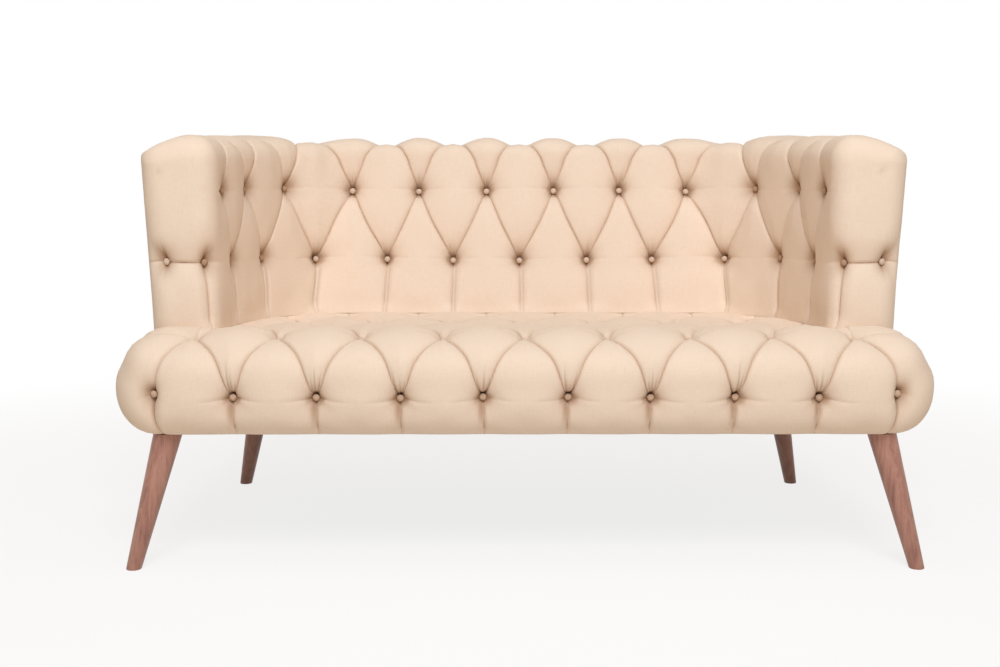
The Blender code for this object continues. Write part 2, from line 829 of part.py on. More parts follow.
def button_form(shape):
    """A domed covered button, with a cone behind that lets it nest into its pit."""
    bulge = [(button_radius * out, button_dome * up) for out, up in button_bulge_shares]
    behind = [(button_radius, 0), (button_shank_radius, -button_cone), (0, -button_cone)]
    profile = [(0, button_dome), *bulge, *behind]
    spun = [Vector((reach, 0, height)) for reach, height in profile]
    verts = [shape.verts.new(place) for place in spun]
    edges = [shape.edges.new(pair) for pair in zip(verts, verts[1:])]
    bmesh.ops.spin(
        shape, geom=verts + edges, cent=(0, 0, 0), axis=(0, 0, 1), angle=2 * math.pi,
        steps=button_sides, use_merge=True, use_duplicate=False,
    )


def button_lift(tree, place, normal):
    """How far a button must stand off its pit's floor to clear the cloth around it."""
    side = normal.orthogonal().normalized()
    other = normal.cross(side)
    lift = 0
    for ring in range(1, button_rings + 1):
        reach = button_radius * ring / button_rings
        back = button_cone * (ring / button_rings - 1)
        for index in range(2 * button_sides):
            turn = math.pi * index / button_sides
            start = place + (side * math.cos(turn) + other * math.sin(turn)) * reach + normal * pit_reach
            hit = tree.ray_cast(start, -normal)[0]
            if hit is not None:
                lift = max(lift, (hit - place).dot(normal) - back)
    return lift + gap


def add_buttons(name, made, cover, places):
    """One button in each pit, pressed in as far as the cloth lets it."""
    tree = BVHTree.FromObject(cover, bpy.context.evaluated_depsgraph_get())
    shared = None
    for index, (place, normal) in enumerate(places):
        if shared is None:
            item = add_object(f"{name}_{index + 1:02d}", made, button_form)
            shade_round(item)
            shared = item.data
        else:
            item = bpy.data.objects.new(f"{name}_{index + 1:02d}", shared)
            bpy.context.collection.objects.link(item)
        item.location = place + normal * button_lift(tree, place, normal)
        item.rotation_mode = "QUATERNION"
        item.rotation_quaternion = Vector((0, 0, 1)).rotation_difference(normal)


def seat_button_places():
    pits = crease_depth + pit_depth
    rims = [rim_place(place, front_row_away) for place in front_places()]
    return [seat_point(rim.x, rim.y, pits) for rim in rims]


def back_button_places(row, rise):
    places = mirrored([place for place in row if place < corner_place - gap])
    return [wall_point(place, rise, crease_depth + pit_depth) for place in places]


# Legs, bolts and blocks


def leg_corners():
    """Each leg's name, its foot's middle on the floor, and its head's middle at the top."""
    corners = []
    for end, half, setback, lean in (
        ("front", sofa_width / 2 - front_leg_foot_inset, front_leg_foot_setback, splay_along_share),
        ("rear", rear_leg_foot_half, rear_leg_foot_setback, -splay_along_share),
    ):
        for side, hand in ((-1, "left"), (1, "right")):
            low = Vector((side * half, from_front(setback), 0))
            high = low + Vector((-side * splay_across_share, lean, 1)) * leg_height
            corners.append((f"{end}_{hand}", low, high))
    return corners


def leg_form(shape, low, high):
    """A leaning cone whose foot and head are level, so that it stands flat."""
    rings = []
    for centre, radius in ((low, leg_foot_radius), (high, leg_head_radius)):
        ring = []
        for index in range(leg_sides):
            turn = 2 * math.pi * index / leg_sides
            ring.append(shape.verts.new(centre + Vector((math.cos(turn), math.sin(turn), 0)) * radius))
        rings.append(ring)
        shape.faces.new(ring)
    for index in range(leg_sides):
        after = (index + 1) % leg_sides
        shape.faces.new((rings[0][index], rings[0][after], rings[1][after], rings[1][index]))


def rod_form(shape, start, stop, radius):
    """A round rod between two points."""
    axis = (stop - start).normalized()
    side = axis.orthogonal().normalized()
    other = axis.cross(side)
    rings = []
    for centre in (start, stop):
        ring = []
        for index in range(bolt_sides):
            turn = 2 * math.pi * index / bolt_sides
            offset = side * math.cos(turn) + other * math.sin(turn)
            ring.append(shape.verts.new(centre + offset * radius))
        rings.append(ring)
        shape.faces.new(ring)
    for index in range(bolt_sides):
        after = (index + 1) % bolt_sides
        shape.faces.new((rings[0][index], rings[0][after], rings[1][after], rings[1][index]))


def seat_outline(clear):
    """The seat frame's plan, with its rounded front corners, grown by a clearance."""
    side = frame_half + clear
    radius = roll_reach - under_reach - hem_width + clear
    rear = from_front(seat_rear - hem_width) + clear
    outline = [Vector((-side, rear))]
    for hand in (-1, 1):
        centre = Vector((hand * flat_half, from_front(roll_reach)))
        for index in range(corner_steps + 1):
            turn = math.pi / 2 * (index if hand > 0 else corner_steps - index) / corner_steps
            outline.append(centre + Vector((hand * math.sin(turn), -math.cos(turn))) * radius)
    outline.append(Vector((side, rear)))
    return outline


def corner_block_outline(side, end):
    """A corner block in plan: round at the front corners, square at the rear ones."""
    if end == "rear":
        near, far = sorted((side * (frame_half - rear_block_width), side * frame_half))
        return rectangle(near, frame_rear - rear_block_length, far, frame_rear)
    radius = roll_reach - under_reach - hem_width
    centre = Vector((side * flat_half, from_front(roll_reach)))
    outline = [Vector((side * (frame_half - block_size), frame_front))]
    for index in range(corner_steps + 1):
        turn = math.pi / 2 * index / corner_steps
        outline.append(centre + Vector((side * math.sin(turn), -math.cos(turn))) * radius)
    outline.append(Vector((side * frame_half, frame_front + block_size)))
    outline.append(Vector((side * (frame_half - block_size), frame_front + block_size)))
    return outline


def add_legs(wood, beech, steel):
    for name, low, high in leg_corners():
        side = 1 if low.x > 0 else -1
        end = name.split("_")[0]
        axis = (high - low).normalized()
        start = high - axis * bolt_length * bolt_leg_share
        stop = start + axis * bolt_length
        leg = add_object("leg_" + name, wood, lambda shape: leg_form(shape, low, high))
        shade_round(leg)
        outline = corner_block_outline(side, end)
        holder = add_object(
            "corner_block_" + name, beech, lambda shape: prism(shape, outline, seat_bottom, frame_top),
        )
        bolt = add_object(
            "hanger_bolt_" + name, steel, lambda shape: rod_form(shape, start, stop, bolt_radius),
        )
        shade_round(bolt)
        hole = add_object(
            "guide_bolt_" + name, steel,
            lambda shape: rod_form(shape, start - axis * gap, stop + axis * gap, bolt_radius + gap),
        )
        cut(leg, hole)
        cut(holder, hole)


# The wooden frame and what it carries


def add_box(name, made, low, high):
    return add_object(name, made, lambda shape: block(shape, low, high))


def add_seat_inside(wood, webbing, foam, black):
    low = seat_bottom + dust_thickness + gap
    front_half = frame_half - block_size - gap
    rear_half = frame_half - rear_block_width - gap
    add_box(
        "seat_rail_front", wood, (-front_half, frame_front, low),
        (front_half, frame_front + rail_thickness, frame_top),
    )
    add_box(
        "seat_rail_rear", wood, (-rear_half, frame_rear - rail_thickness, low),
        (rear_half, frame_rear, frame_top),
    )
    for side, hand in ((-1, "left"), (1, "right")):
        near, far = sorted((side * (frame_half - rail_thickness), side * frame_half))
        start = frame_front + block_size + gap
        stop = frame_rear - rear_block_length - gap
        add_box("seat_rail_" + hand, wood, (near, start, low), (far, stop, frame_top))
    start = frame_front + rail_thickness + gap
    stop = frame_rear - rail_thickness - gap
    add_box(
        "seat_rail_centre", wood, (-rail_thickness / 2, start, low), (rail_thickness / 2, stop, frame_top),
    )
    web_low = frame_top + gap
    add_object("seat_webbing", webbing, lambda shape: lattice_form(
        shape, (-flat_half, frame_front), (flat_half, frame_rear), seat_web_counts, web_width,
        web_low, web_thickness,
    ))
    foam_low = web_low + web_thickness + gap
    add_object("seat_foam", foam, lambda shape: prism(shape, seat_outline(0), foam_low, seat_foam_height))
    add_object("dust_cover", black, dust_cover_form)


def dust_cover_form(shape):
    """The cloth under the seat, cut round the four corner blocks."""
    notch = block_size + gap
    rear_notch_width = rear_block_width + gap
    rear_notch_length = rear_block_length + gap
    half = [
        Vector((frame_half - notch, frame_front)),
        Vector((frame_half - notch, frame_front + notch)),
        Vector((frame_half, frame_front + notch)),
        Vector((frame_half, frame_rear - rear_notch_length)),
        Vector((frame_half - rear_notch_width, frame_rear - rear_notch_length)),
        Vector((frame_half - rear_notch_width, frame_rear)),
    ]
    outline = half + [Vector((-point.x, point.y)) for point in reversed(half)]
    prism(shape, outline, seat_bottom, seat_bottom + dust_thickness)


def lattice_form(shape, low, high, counts, width, height, thickness):
    """Crossed bands, as one flat lattice lying at a height."""
    lines = []
    for axis in (0, 1):
        pitch = (high[axis] - low[axis] - width) / (counts[axis] - 1)
        starts = [low[axis] + pitch * index for index in range(counts[axis])]
        lines.append([mark for start in starts for mark in (start, start + width)])
    layers = []
    for level in (height, height + thickness):
        layers.append([[shape.verts.new((x, y, level)) for y in lines[1]] for x in lines[0]])
    across, along = len(lines[0]) - 1, len(lines[1]) - 1

    def filled(row, column):
        inside = 0 <= row < across and 0 <= column < along
        return inside and not (row % 2 == 1 and column % 2 == 1)

    for row in range(across):
        for column in range(along):
            if not filled(row, column):
                continue
            ring = [(row, column), (row + 1, column), (row + 1, column + 1), (row, column + 1)]
            for layer in layers:
                shape.faces.new([layer[x][y] for x, y in ring])
            beside = [(row, column - 1), (row + 1, column), (row, column + 1), (row - 1, column)]
            for index, neighbour in enumerate(beside):
                if not filled(*neighbour):
                    start, stop = ring[index], ring[(index + 1) % 4]
                    shape.faces.new((
                        layers[0][start[0]][start[1]], layers[0][stop[0]][stop[1]],
                        layers[1][stop[0]][stop[1]], layers[1][start[0]][start[1]],
                    ))


def upright(shape_maker):
    """Stand a form made on the floor up on its edge, facing front."""

    def made(shape):
        shape_maker(shape)
        for vert in shape.verts:
            vert.co = (vert.co.x, vert.co.z, vert.co.y)

    return made


def sideways(shape_maker, side):
    """Stand a form made on the floor up on its edge, facing one side."""

    def made(shape):
        shape_maker(shape)
        for vert in shape.verts:
            vert.co = (side * vert.co.z, vert.co.x, vert.co.y)

    return made


def wedge_form(shape, half, front_clear, rear, low, high):
    """A slab along x whose front leans with the back's padding."""
    front_low = from_front(back_foot_setback + padding + back_lean * (low - foot)) + front_clear
    front_high = from_front(back_foot_setback + padding + back_lean * (high - foot)) + front_clear
    outline = [(front_low, low), (rear, low), (rear, high), (front_high, high)]
    rings = [[shape.verts.new((x, y, z)) for y, z in outline] for x in (-half, half)]
    for ring in rings:
        shape.faces.new(ring)
    for index in range(len(outline)):
        after = (index + 1) % len(outline)
        shape.faces.new((rings[0][index], rings[0][after], rings[1][after], rings[1][index]))


def add_back_inside(back, wood, webbing, foam):
    rear = from_front(cover_rear)
    top = back_top - padding
    post_front = rear - back_frame_depth
    web_front = post_front - gap - web_thickness
    hollow = add_object("guide_back_hollow", foam, lambda shape: wedge_form(
        shape, back_foam_half + gap, 0, rear + overrun, foot - overrun, top,
    ))
    cut(back, hollow)
    recess = add_box(
        "guide_back_recess", foam, (-back_frame_half - gap, web_front - gap, foot - overrun),
        (back_frame_half + gap, rear + overrun, top),
    )
    cut(back, recess)
    add_object("back_foam", foam, lambda shape: wedge_form(
        shape, back_foam_half, gap, web_front - gap, foot, top - gap,
    ))
    add_object("back_webbing", webbing, upright(lambda shape: lattice_form(
        shape, (-back_frame_half, foot), (back_frame_half, top - gap), back_web_counts, web_width,
        web_front, web_thickness,
    )))
    rail_low = top - back_rail_height
    add_box(
        "back_top_rail", wood, (-back_frame_half, post_front, rail_low), (back_frame_half, rear, top - gap),
    )
    inner = back_frame_half - back_post_width
    for side, hand in ((-1, "left"), (1, "right")):
        near, far = sorted((side * inner, side * back_frame_half))
        add_box("back_post_" + hand, wood, (near, post_front, foot), (far, rear, rail_low - gap))
    add_box(
        "back_lower_rail", wood, (-inner + gap, post_front, foot),
        (inner - gap, rear, foot + back_rail_height),
    )


def add_arm_inside(arm, hand, side, wood, foam):
    inner = arm_inner_half + padding
    front = from_front(arm_front_setback + padding)
    rear = from_front(arm_foam_rear)
    top = arm_top - padding
    near, far = sorted((side * inner, side * (arm_head_half + overrun)))
    hollow = add_box(
        "guide_arm_hollow_" + hand, foam, (near, front, foot - overrun), (far, rear, top),
    )
    cut(arm, hollow)
    board_inner = arm_foot_half - arm_board
    add_object("arm_frame_" + hand, wood, sideways(lambda shape: lattice_form(
        shape, (front + gap, foot), (rear - gap, top - gap), (2, 2), arm_board_border, board_inner, arm_board,
    ), side))
    near, far = sorted((side * (inner + gap), side * (board_inner - gap)))
    add_box("arm_foam_" + hand, foam, (near, front + gap, foot), (far, rear - gap, top - gap))


def wall_panel_form(shape, stations):
    """A thin panel outside the wall, upright between its foot and its top edge."""
    rings = []
    for station in stations:
        ring = []
        for level in ("low", "high"):
            height = foot
            place, outward = station(height)
            if level == "high":
                height = crest_height(place.y) - top_edge_radius - gap
                place, outward = station(height)
            for off in (gap, gap + panel_thickness):
                point = place + outward * off
                ring.append(shape.verts.new((point.x, from_front(point.y), height)))
        rings.append([ring[0], ring[1], ring[3], ring[2]])
    shape.faces.new(rings[0])
    shape.faces.new(rings[-1])
    for first, second in zip(rings, rings[1:]):
        for index in range(len(first)):
            after = (index + 1) % len(first)
            shape.faces.new((first[index], first[after], second[after], second[index]))


def side_station(side, setback):
    return lambda height: (Vector((side * outer_half(height), setback)), Vector((side, 0)))


def corner_station(side, turn):
    def station(height):
        outward = Vector((side * math.cos(turn), math.sin(turn)))
        centre = Vector((side * (outer_half(height) - outer_corner_radius), cover_rear - outer_corner_radius))
        return centre + outward * outer_corner_radius, outward

    return station


def add_outer_panels(made):
    for side, hand in ((-1, "left"), (1, "right")):
        ends = (arm_front_line + gap, cover_rear - outer_corner_radius - gap)
        add_object("outer_panel_" + hand, made, lambda shape: wall_panel_form(
            shape, [side_station(side, end) for end in ends],
        ))
    turns = [math.pi / 2 * index / outer_corner_steps for index in range(outer_corner_steps + 1)]
    stations = [corner_station(1, turn) for turn in turns]
    stations += [corner_station(-1, turn) for turn in reversed(turns)]
    add_object("outer_panel_back", made, lambda shape: wall_panel_form(shape, stations))


def main():
    for item in list(bpy.data.objects):
        bpy.data.objects.remove(item)
    cloth, walnut, beech, steel, webbing, foam, black = [material(*finish) for finish in finishes]

    seat = add_object("seat_cover", cloth, seat_form)
    seat_hollow = add_object("guide_seat_hollow", foam, lambda shape: prism(
        shape, seat_outline(gap), seat_bottom - overrun, seat_foam_height + gap,
    ))
    cut(seat, seat_hollow)
    add_seat_inside(beech, webbing, foam, black)
    add_legs(walnut, beech, steel)

    back = add_object("back_cover", cloth, back_form)
    add_back_inside(back, beech, webbing, foam)
    for side, hand in ((-1, "left"), (1, "right")):
        arm = add_object("arm_cover_" + hand, cloth, lambda shape: arm_form(shape, side))
        add_arm_inside(arm, hand, side, beech, foam)
    add_outer_panels(cloth)

    bpy.context.view_layer.update()
    add_buttons("seat_button", cloth, seat, seat_button_places())
    add_buttons("back_button_lower", cloth, back, back_button_places(lower_row_places, lower_tuft_rise))
    add_buttons("back_button_upper", cloth, back, back_button_places(upper_row_places, upper_tuft_rise))


main()
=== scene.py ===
"""The looks of the tufted two-seater sofa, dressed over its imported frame.

The seat and the wall (back and arms) are sheets of linen laid out on a flat pattern, cell by cell,
and pulled down to their buttons. A cloth simulation then lets the padding press them out a little.
Smooth panels close the outside, and turned legs carry the sofa.
"""

import bisect
import json
import math

import bmesh
import bpy
import numpy
from mathutils import Matrix, Vector, noise
from mathutils.bvhtree import BVHTree

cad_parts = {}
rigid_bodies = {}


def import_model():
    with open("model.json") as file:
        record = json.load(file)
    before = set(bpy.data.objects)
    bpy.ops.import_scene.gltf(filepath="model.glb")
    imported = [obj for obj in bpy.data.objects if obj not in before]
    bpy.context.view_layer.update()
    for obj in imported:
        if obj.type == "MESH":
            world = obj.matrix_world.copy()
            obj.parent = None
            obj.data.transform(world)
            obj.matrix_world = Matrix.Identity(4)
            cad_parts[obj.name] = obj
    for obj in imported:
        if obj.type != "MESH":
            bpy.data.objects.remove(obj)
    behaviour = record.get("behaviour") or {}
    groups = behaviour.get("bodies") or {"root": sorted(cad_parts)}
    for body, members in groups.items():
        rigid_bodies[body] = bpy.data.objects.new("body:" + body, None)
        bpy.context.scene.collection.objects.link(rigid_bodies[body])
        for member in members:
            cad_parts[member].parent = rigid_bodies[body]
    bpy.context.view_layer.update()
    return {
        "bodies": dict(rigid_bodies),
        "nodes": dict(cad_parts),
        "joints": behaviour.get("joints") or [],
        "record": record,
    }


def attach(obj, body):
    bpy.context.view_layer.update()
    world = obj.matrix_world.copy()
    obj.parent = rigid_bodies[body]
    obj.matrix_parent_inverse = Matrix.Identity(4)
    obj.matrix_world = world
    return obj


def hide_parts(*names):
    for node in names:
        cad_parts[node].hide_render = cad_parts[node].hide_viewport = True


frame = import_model()

# Fits
gap = 0.0003
tiny = 0.000001
merge_distance = 0.00001

# Overall sizes, as in the frame
sofa_width = 1.40
sofa_depth = 0.757
leg_height = 0.223
seat_top = 0.388
arm_top = 0.731
back_rise = 0.0195

# Seat slab
roll_reach = 0.10
under_reach = 0.06
widest_height = 0.303
hem_width = 0.012

# Arms and back, measured to the crown of the padding
arm_inset = 0.044
arm_thickness = 0.120
arm_flare = 0.018
arm_front_setback = 0.150
arm_front_radius = 0.040
back_thickness = 0.217
back_lean_run = 0.1076
inner_sweep_across = 0.180
corner_sweep = 0.233
outer_corner_radius = 0.120
top_edge_radius = 0.045
outer_edge_reach = 0.080
outer_slope_drop = 0.0065
slope_peak_share = 4 / 27
edge_blend = 3
panel_thickness = 0.004
sweep_steps = 64

# Tufting
end_tuft_inset = 0.07135
last_row_clear = 0.0375
last_side_clear = 0.0867
front_row_drop = 0.0155
second_row_setback = 0.0825
lower_row_share = 0.318
upper_row_share = 0.711
seat_front_count = 10
seat_row_count = 4
back_half_count = 3
arm_count = 3
corner_tuft_away = 0.1345
face_button_turn = math.radians(22)

# Relief of the cloth: pillows, folds along the pleats, pits and wells at the buttons, and painted shade down
# in them
pillow_depth = 0.0085
pillow_reach = 0.048
pillow_sharpness = 2.2
fold_depth = 0.0055
steep_fold_reach = 0.0013
soft_fold_reach = 0.0036
pit_depth = 0.020
pit_reach = 0.029
pit_sharpness = 1.3
well_depth = 0.0045
well_radius = 0.0104
well_wall = 0.0052
dip_depth = 0.011
dip_reach = 0.034
pucker_depth = 0.0012
pucker_reach = 0.022
pucker_start = 0.011
pucker_count = 8
# Darts: short creases that pull the cloth in, each darkened along its line by painted shade
dart_width = 0.0030
dart_depth = 0.0048
dart_turn = math.radians(17)
dart_tip_share = 0.30
dart_painted_shade_share = 0.62
fan_length = 0.056
fan_count = 3
fan_uneven_share = 1 / 3
side_dart_length = 0.058
side_dart_width = 0.0052
side_dart_depth = 0.0016
side_dart_painted_shade = 0.12
dimple_rise = 0.168
dimple_inward = 0.020
dimple_half = 0.012
dimple_width = 0.0042
dimple_depth = 0.0024
dimple_painted_shade = 0.36
low_fold_width = 0.0085
low_fold_aside = 0.0035
low_fold_depth = 0.0045
low_fold_length = 0.062
low_fold_painted_shade = 0.72
double_fold_away = 0.0062
ripple_depth = 0.0009
ripple_size = 0.040
wobble_size = 0.16
wobble_reach = 0.0032
seat_bow = 0.0095
wall_bow = 0.0040
arm_row_lift = 0.006
front_row_lift = 0.006
row_draw = 0.011
row_draw_reach = 0.060
front_tuft_back = 0.018
deepest_turn = 0.036
top_tuft_share = 0.50
rear_tuft_share = 0.34
seat_puff = 0.015
rear_puff = 0.004
rear_puff_from = 0.30
puff_reach = 0.068
puff_side_reach = 0.065
corner_draw = 0.008
corner_draw_reach = 0.055
mask_reach = 0.018
hem_reach = 0.025
foot_drop_reach = 0.060
tuck_depth = 0.015
# Painted shade: the linen darkened down in the pleats, in a ring round each button's pit, and in a soft patch
# set a little above the button, where the pit's upper lip shades it; the buttons get an even painted shade of
# their own
fold_painted_shade_reach = 0.0014
fold_painted_shade_share = 0.28
pit_painted_shade_reach = 0.0150
pit_painted_shade_share = 0.85
pit_painted_shade_sharpness = 4
halo_painted_shade_share = 0.42
arm_halo_painted_shade_share = 0.90
arm_relief_share = 0.58
arm_relief_fade = 0.050
halo_painted_shade_reach = 0.0210
halo_painted_shadow_rise = 0.0050
pale_button_painted_shade = 0.30
seat_button_painted_shade = 0.52
arm_button_painted_shade = 0.75

# Cloth settling: the padding's pressure swells each pillow between its held pleats
settle_frames = 12
settle_quality = 5
settle_pressure = 4.0
settle_spare = 0.015
settle_cap = 0.005
settle_evening = 12
held_sink = 0.0050

# Covered buttons
button_radius = 0.0063
button_dome = 0.0040
button_cone = 0.0050
button_shank_radius = 0.0030
button_rings = 5
button_sides = 28
button_bulge_shares = ((0.3, 0.95), (0.55, 0.80), (0.78, 0.54), (0.92, 0.26))

# Legs
leg_foot_radius = 0.0129
leg_head_radius = 0.0248
leg_foot_round = 0.0012
front_leg_foot_inset = 0.0395
front_leg_foot_setback = 0.0233
rear_leg_foot_inset = 0.1029
rear_leg_foot_clear = 0.0560
splay_across_share = 0.2257
splay_along_share = 0.2499
leg_sides = 48
leg_sharp_angle = math.radians(50)

# Mesh density: quads across a pillow and along one stretch of its pleats
across_count = 22
along_count = 22
crest_count = 12
outer_count = 40
corner_count = 16
panel_rows = 24

# Lengths along the surfaces, worked out from the sizes above
seat_bottom = leg_height + gap
foot = seat_top + gap
back_top = arm_top + back_rise
back_lean = back_lean_run / (back_top - foot)
flat_half = sofa_width / 2 - roll_reach
tuft_spacing = (sofa_width - 2 * end_tuft_inset) / (seat_front_count - 1)
back_foot_setback = sofa_depth - back_thickness
row_spacing = (back_foot_setback - last_row_clear - second_row_setback) / (seat_row_count - 1)
arm_foot_half = sofa_width / 2 - arm_inset
arm_head_half = arm_foot_half + arm_flare
arm_inner_half = arm_foot_half - arm_thickness
roll_rise = seat_top - widest_height
roll_drop = widest_height - seat_bottom
upper_roll = math.pi / 2 * math.sqrt((roll_reach ** 2 + roll_rise ** 2) / 2)
lower_roll = math.pi / 2 * math.sqrt((under_reach ** 2 + roll_drop ** 2) / 2)
rim_end = upper_roll + lower_roll
front_row_away = upper_roll + front_row_drop
cover_rear = sofa_depth - panel_thickness - gap
corner_start = arm_inner_half - inner_sweep_across
corner_end = corner_start + corner_sweep
face_rise = arm_top - top_edge_radius - foot
mid_back = back_foot_setback + back_lean * face_rise / 2
arm_front_line = arm_front_setback + arm_front_radius
sweep_along = mid_back - arm_front_line
sweep_turns = [math.pi / 2 * index / sweep_steps for index in range(sweep_steps + 1)]
sweep_speeds = [
    math.hypot(inner_sweep_across * math.cos(turn), sweep_along * math.sin(turn)) for turn in sweep_turns
]
sweep_lengths = [sum(sweep_speeds[:index]) * sweep_turns[1] for index in range(sweep_steps + 1)]
arm_end = corner_start + sweep_lengths[-1]
front_turn = math.pi / 2 * arm_front_radius
front_face_end = arm_end + front_turn + arm_head_half - arm_inner_half - 2 * arm_front_radius
wall_end = front_face_end + front_turn
corner_place = corner_start + corner_tuft_away
back_spacing = corner_place / (back_half_count + 1 / 2)
arm_spacing = (arm_end + front_turn / 2 - corner_place) / (arm_count - 1 / 2)
lower_row_places = [back_spacing * index for index in range(back_half_count + 1)]
lower_row_places += [corner_place + arm_spacing * (index + 1 / 2) for index in range(arm_count)]
upper_row_places = [back_spacing * (index + 1 / 2) for index in range(back_half_count)]
upper_row_places += [corner_place + arm_spacing * index for index in range(arm_count)]
face_button_place = front_face_end + arm_front_radius * face_button_turn
over_length = cover_rear - back_foot_setback - back_lean * face_rise + top_edge_radius
crest_share = 0.62
dip_share = 0.42
lower_tuft_rise = (arm_top - seat_top) * lower_row_share - gap
upper_tuft_rise = (arm_top - seat_top) * upper_row_share - gap
crest_rise = face_rise + over_length * crest_share
edge_rise = face_rise + over_length
dip_rise = face_rise + over_length * dip_share
rim_length = flat_half + math.pi / 2 * roll_reach + sofa_depth - roll_reach
button_profile = [
    (0, button_dome), *((button_radius * out, button_dome * up) for out, up in button_bulge_shares),
    (button_radius, 0), (button_shank_radius, -button_cone), (0, -button_cone),
]
leg_profile = [
    (0, 0), (leg_foot_radius - leg_foot_round, 0), (leg_foot_radius, leg_foot_round),
    (leg_head_radius, leg_height), (0, leg_height),
]


# Helpers


def from_front(setback):
    """The y of a place given by its distance behind the frontmost point."""
    return setback - sofa_depth / 2


def add_piece(name, shape, finish, uv_of=None):
    """Turn a bmesh into a named piece, with the cloth's flat pattern as its UV map."""
    if uv_of:
        layer = shape.loops.layers.uv.new("pattern")
        for face in shape.faces:
            for loop in face.loops:
                loop[layer].uv = uv_of(loop.vert)
    mesh = bpy.data.meshes.new(name)
    shape.to_mesh(mesh)
    shape.free()
    mesh.materials.append(finish)
    mesh.shade_smooth()
    item = bpy.data.objects.new(name, mesh)
    bpy.context.collection.objects.link(item)
    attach(item, "root")
    return item


def turned_shape(profile, sides):
    """A closed shape turned round the z axis, from the radii and heights of its profile."""
    shape = bmesh.new()
    verts = [shape.verts.new((reach, 0, height)) for reach, height in profile]
    edges = [shape.edges.new(pair) for pair in zip(verts, verts[1:])]
    bmesh.ops.spin(
        shape, geom=verts + edges, cent=(0, 0, 0), axis=(0, 0, 1), angle=2 * math.pi,
        steps=sides, use_merge=True, use_duplicate=False,
    )
    bmesh.ops.remove_doubles(shape, verts=shape.verts, dist=merge_distance)
    bmesh.ops.recalc_face_normals(shape, faces=shape.faces)
    return shape


def join_rows(shape, rows):
    """Faces between each row of points and the next."""
    for first, second in zip(rows, rows[1:]):
        for index in range(len(first) - 1):
            shape.faces.new((first[index], second[index], second[index + 1], first[index + 1]))


def smooth_step(share):
    share = min(max(share, 0), 1)
    return share * share * (3 - 2 * share)


def bunched(count):
    """Shares from 0 to 1 that lie closer together at both ends."""
    return [(1 - math.cos(math.pi * index / count)) / 2 for index in range(count + 1)]


def nearest(point, segment):
    start, stop = segment
    line = stop - start
    share = (point - start).dot(line) / line.length_squared
    return (point - start - line * min(max(share, 0), 1)).length


# The seat surface: a flat top whose edges roll over and under


def past_flat(point):
    """How far a place lies past the seat's flat top, beside it and before it."""
    return max(abs(point.x) - flat_half, 0), max(roll_reach - point.y, 0)


def roll_profile(away):
    """Reach, height and normal at a distance along the roll from the flat top."""
    if away < upper_roll:
        angle = away / upper_roll * math.pi / 2
        reach = roll_reach * math.sin(angle)
        height = widest_height + roll_rise * math.cos(angle)
        normal = (math.sin(angle) / roll_reach, math.cos(angle) / roll_rise)
    else:
        angle = (away - upper_roll) / lower_roll * math.pi / 2
        reach = roll_reach - under_reach * (1 - math.cos(angle))
        height = widest_height - roll_drop * math.sin(angle)
        normal = (math.cos(angle) / under_reach, -math.sin(angle) / roll_drop)
    size = math.hypot(*normal)
    return reach, height, normal[0] / size, normal[1] / size


def seat_point(flat_place, sink):
    """A point of the seat from its flat-pattern place, sunk below the crown, and its normal."""
    across, along = flat_place
    side = 1 if across >= 0 else -1
    beside, before = past_flat(flat_place)
    away = math.hypot(beside, before)
    if away < tiny:
        place = Vector((across, from_front(along), seat_top))
        normal = Vector((0, 0, 1))
    else:
        reach, height, outward, upward = roll_profile(min(away, rim_end))
        toward = Vector((side * beside / away, -before / away))
        x = min(abs(across), flat_half) * side + toward.x * reach
        y = from_front(max(along, roll_reach)) + toward.y * reach
        place = Vector((x, y, height))
        normal = Vector((toward.x * outward, toward.y * outward, upward))
    return place - normal * sink, normal


def rim_place(distance, away):
    """The flat-pattern place on the roll at a distance round the seat's rim."""
    side = 1 if distance >= 0 else -1
    round_rim = abs(distance)
    corner = math.pi / 2 * roll_reach
    if round_rim <= flat_half:
        return Vector((distance, roll_reach - away))
    if round_rim <= flat_half + corner:
        turn = (round_rim - flat_half) / roll_reach
        return Vector((side * (flat_half + away * math.sin(turn)), roll_reach - away * math.cos(turn)))
    return Vector((side * (flat_half + away), roll_reach + round_rim - flat_half - corner))


# The wall surface: back and arms in one sweep, by distance from the middle and by rise


def outer_half(height):
    """Half the width over the arms, which flare a little upwards."""
    share = (height - foot) / (arm_top - foot)
    return arm_foot_half + (arm_head_half - arm_foot_half) * share


def sweep_turn(length):
    """How far round its quarter ellipse the inner sweep has turned at a length along it."""
    index = min(bisect.bisect_right(sweep_lengths, length), sweep_steps)
    start, stop = sweep_lengths[index - 1], sweep_lengths[index]
    share = min((length - start) / (stop - start), 1)
    return sweep_turns[index - 1] + (sweep_turns[index] - sweep_turns[index - 1]) * share


def inner_plan(distance, height):
    """The padding's crown line in plan, for the right half: the back sweeps round into the arm."""
    rear = back_foot_setback + back_lean * (height - foot)
    if distance <= corner_start:
        return Vector((distance, rear))
    if distance <= arm_end:
        turn = sweep_turn(distance - corner_start)
        return Vector((
            corner_start + inner_sweep_across * math.sin(turn),
            rear - (rear - arm_front_line) * (1 - math.cos(turn)),
        ))
    outer = outer_half(height)
    if distance <= arm_end + front_turn:
        turn = (distance - arm_end) / arm_front_radius
        return Vector((
            arm_inner_half + arm_front_radius * (1 - math.cos(turn)),
            arm_front_line - arm_front_radius * math.sin(turn),
        ))
    face_start = arm_inner_half + arm_front_radius
    face_stop = outer - arm_front_radius
    if distance <= front_face_end:
        share = (distance - arm_end - front_turn) / (front_face_end - arm_end - front_turn)
        return Vector((face_start + (face_stop - face_start) * share, arm_front_setback))
    turn = (distance - front_face_end) / arm_front_radius
    return Vector((
        face_stop + arm_front_radius * math.sin(turn),
        arm_front_line - arm_front_radius * math.cos(turn),
    ))


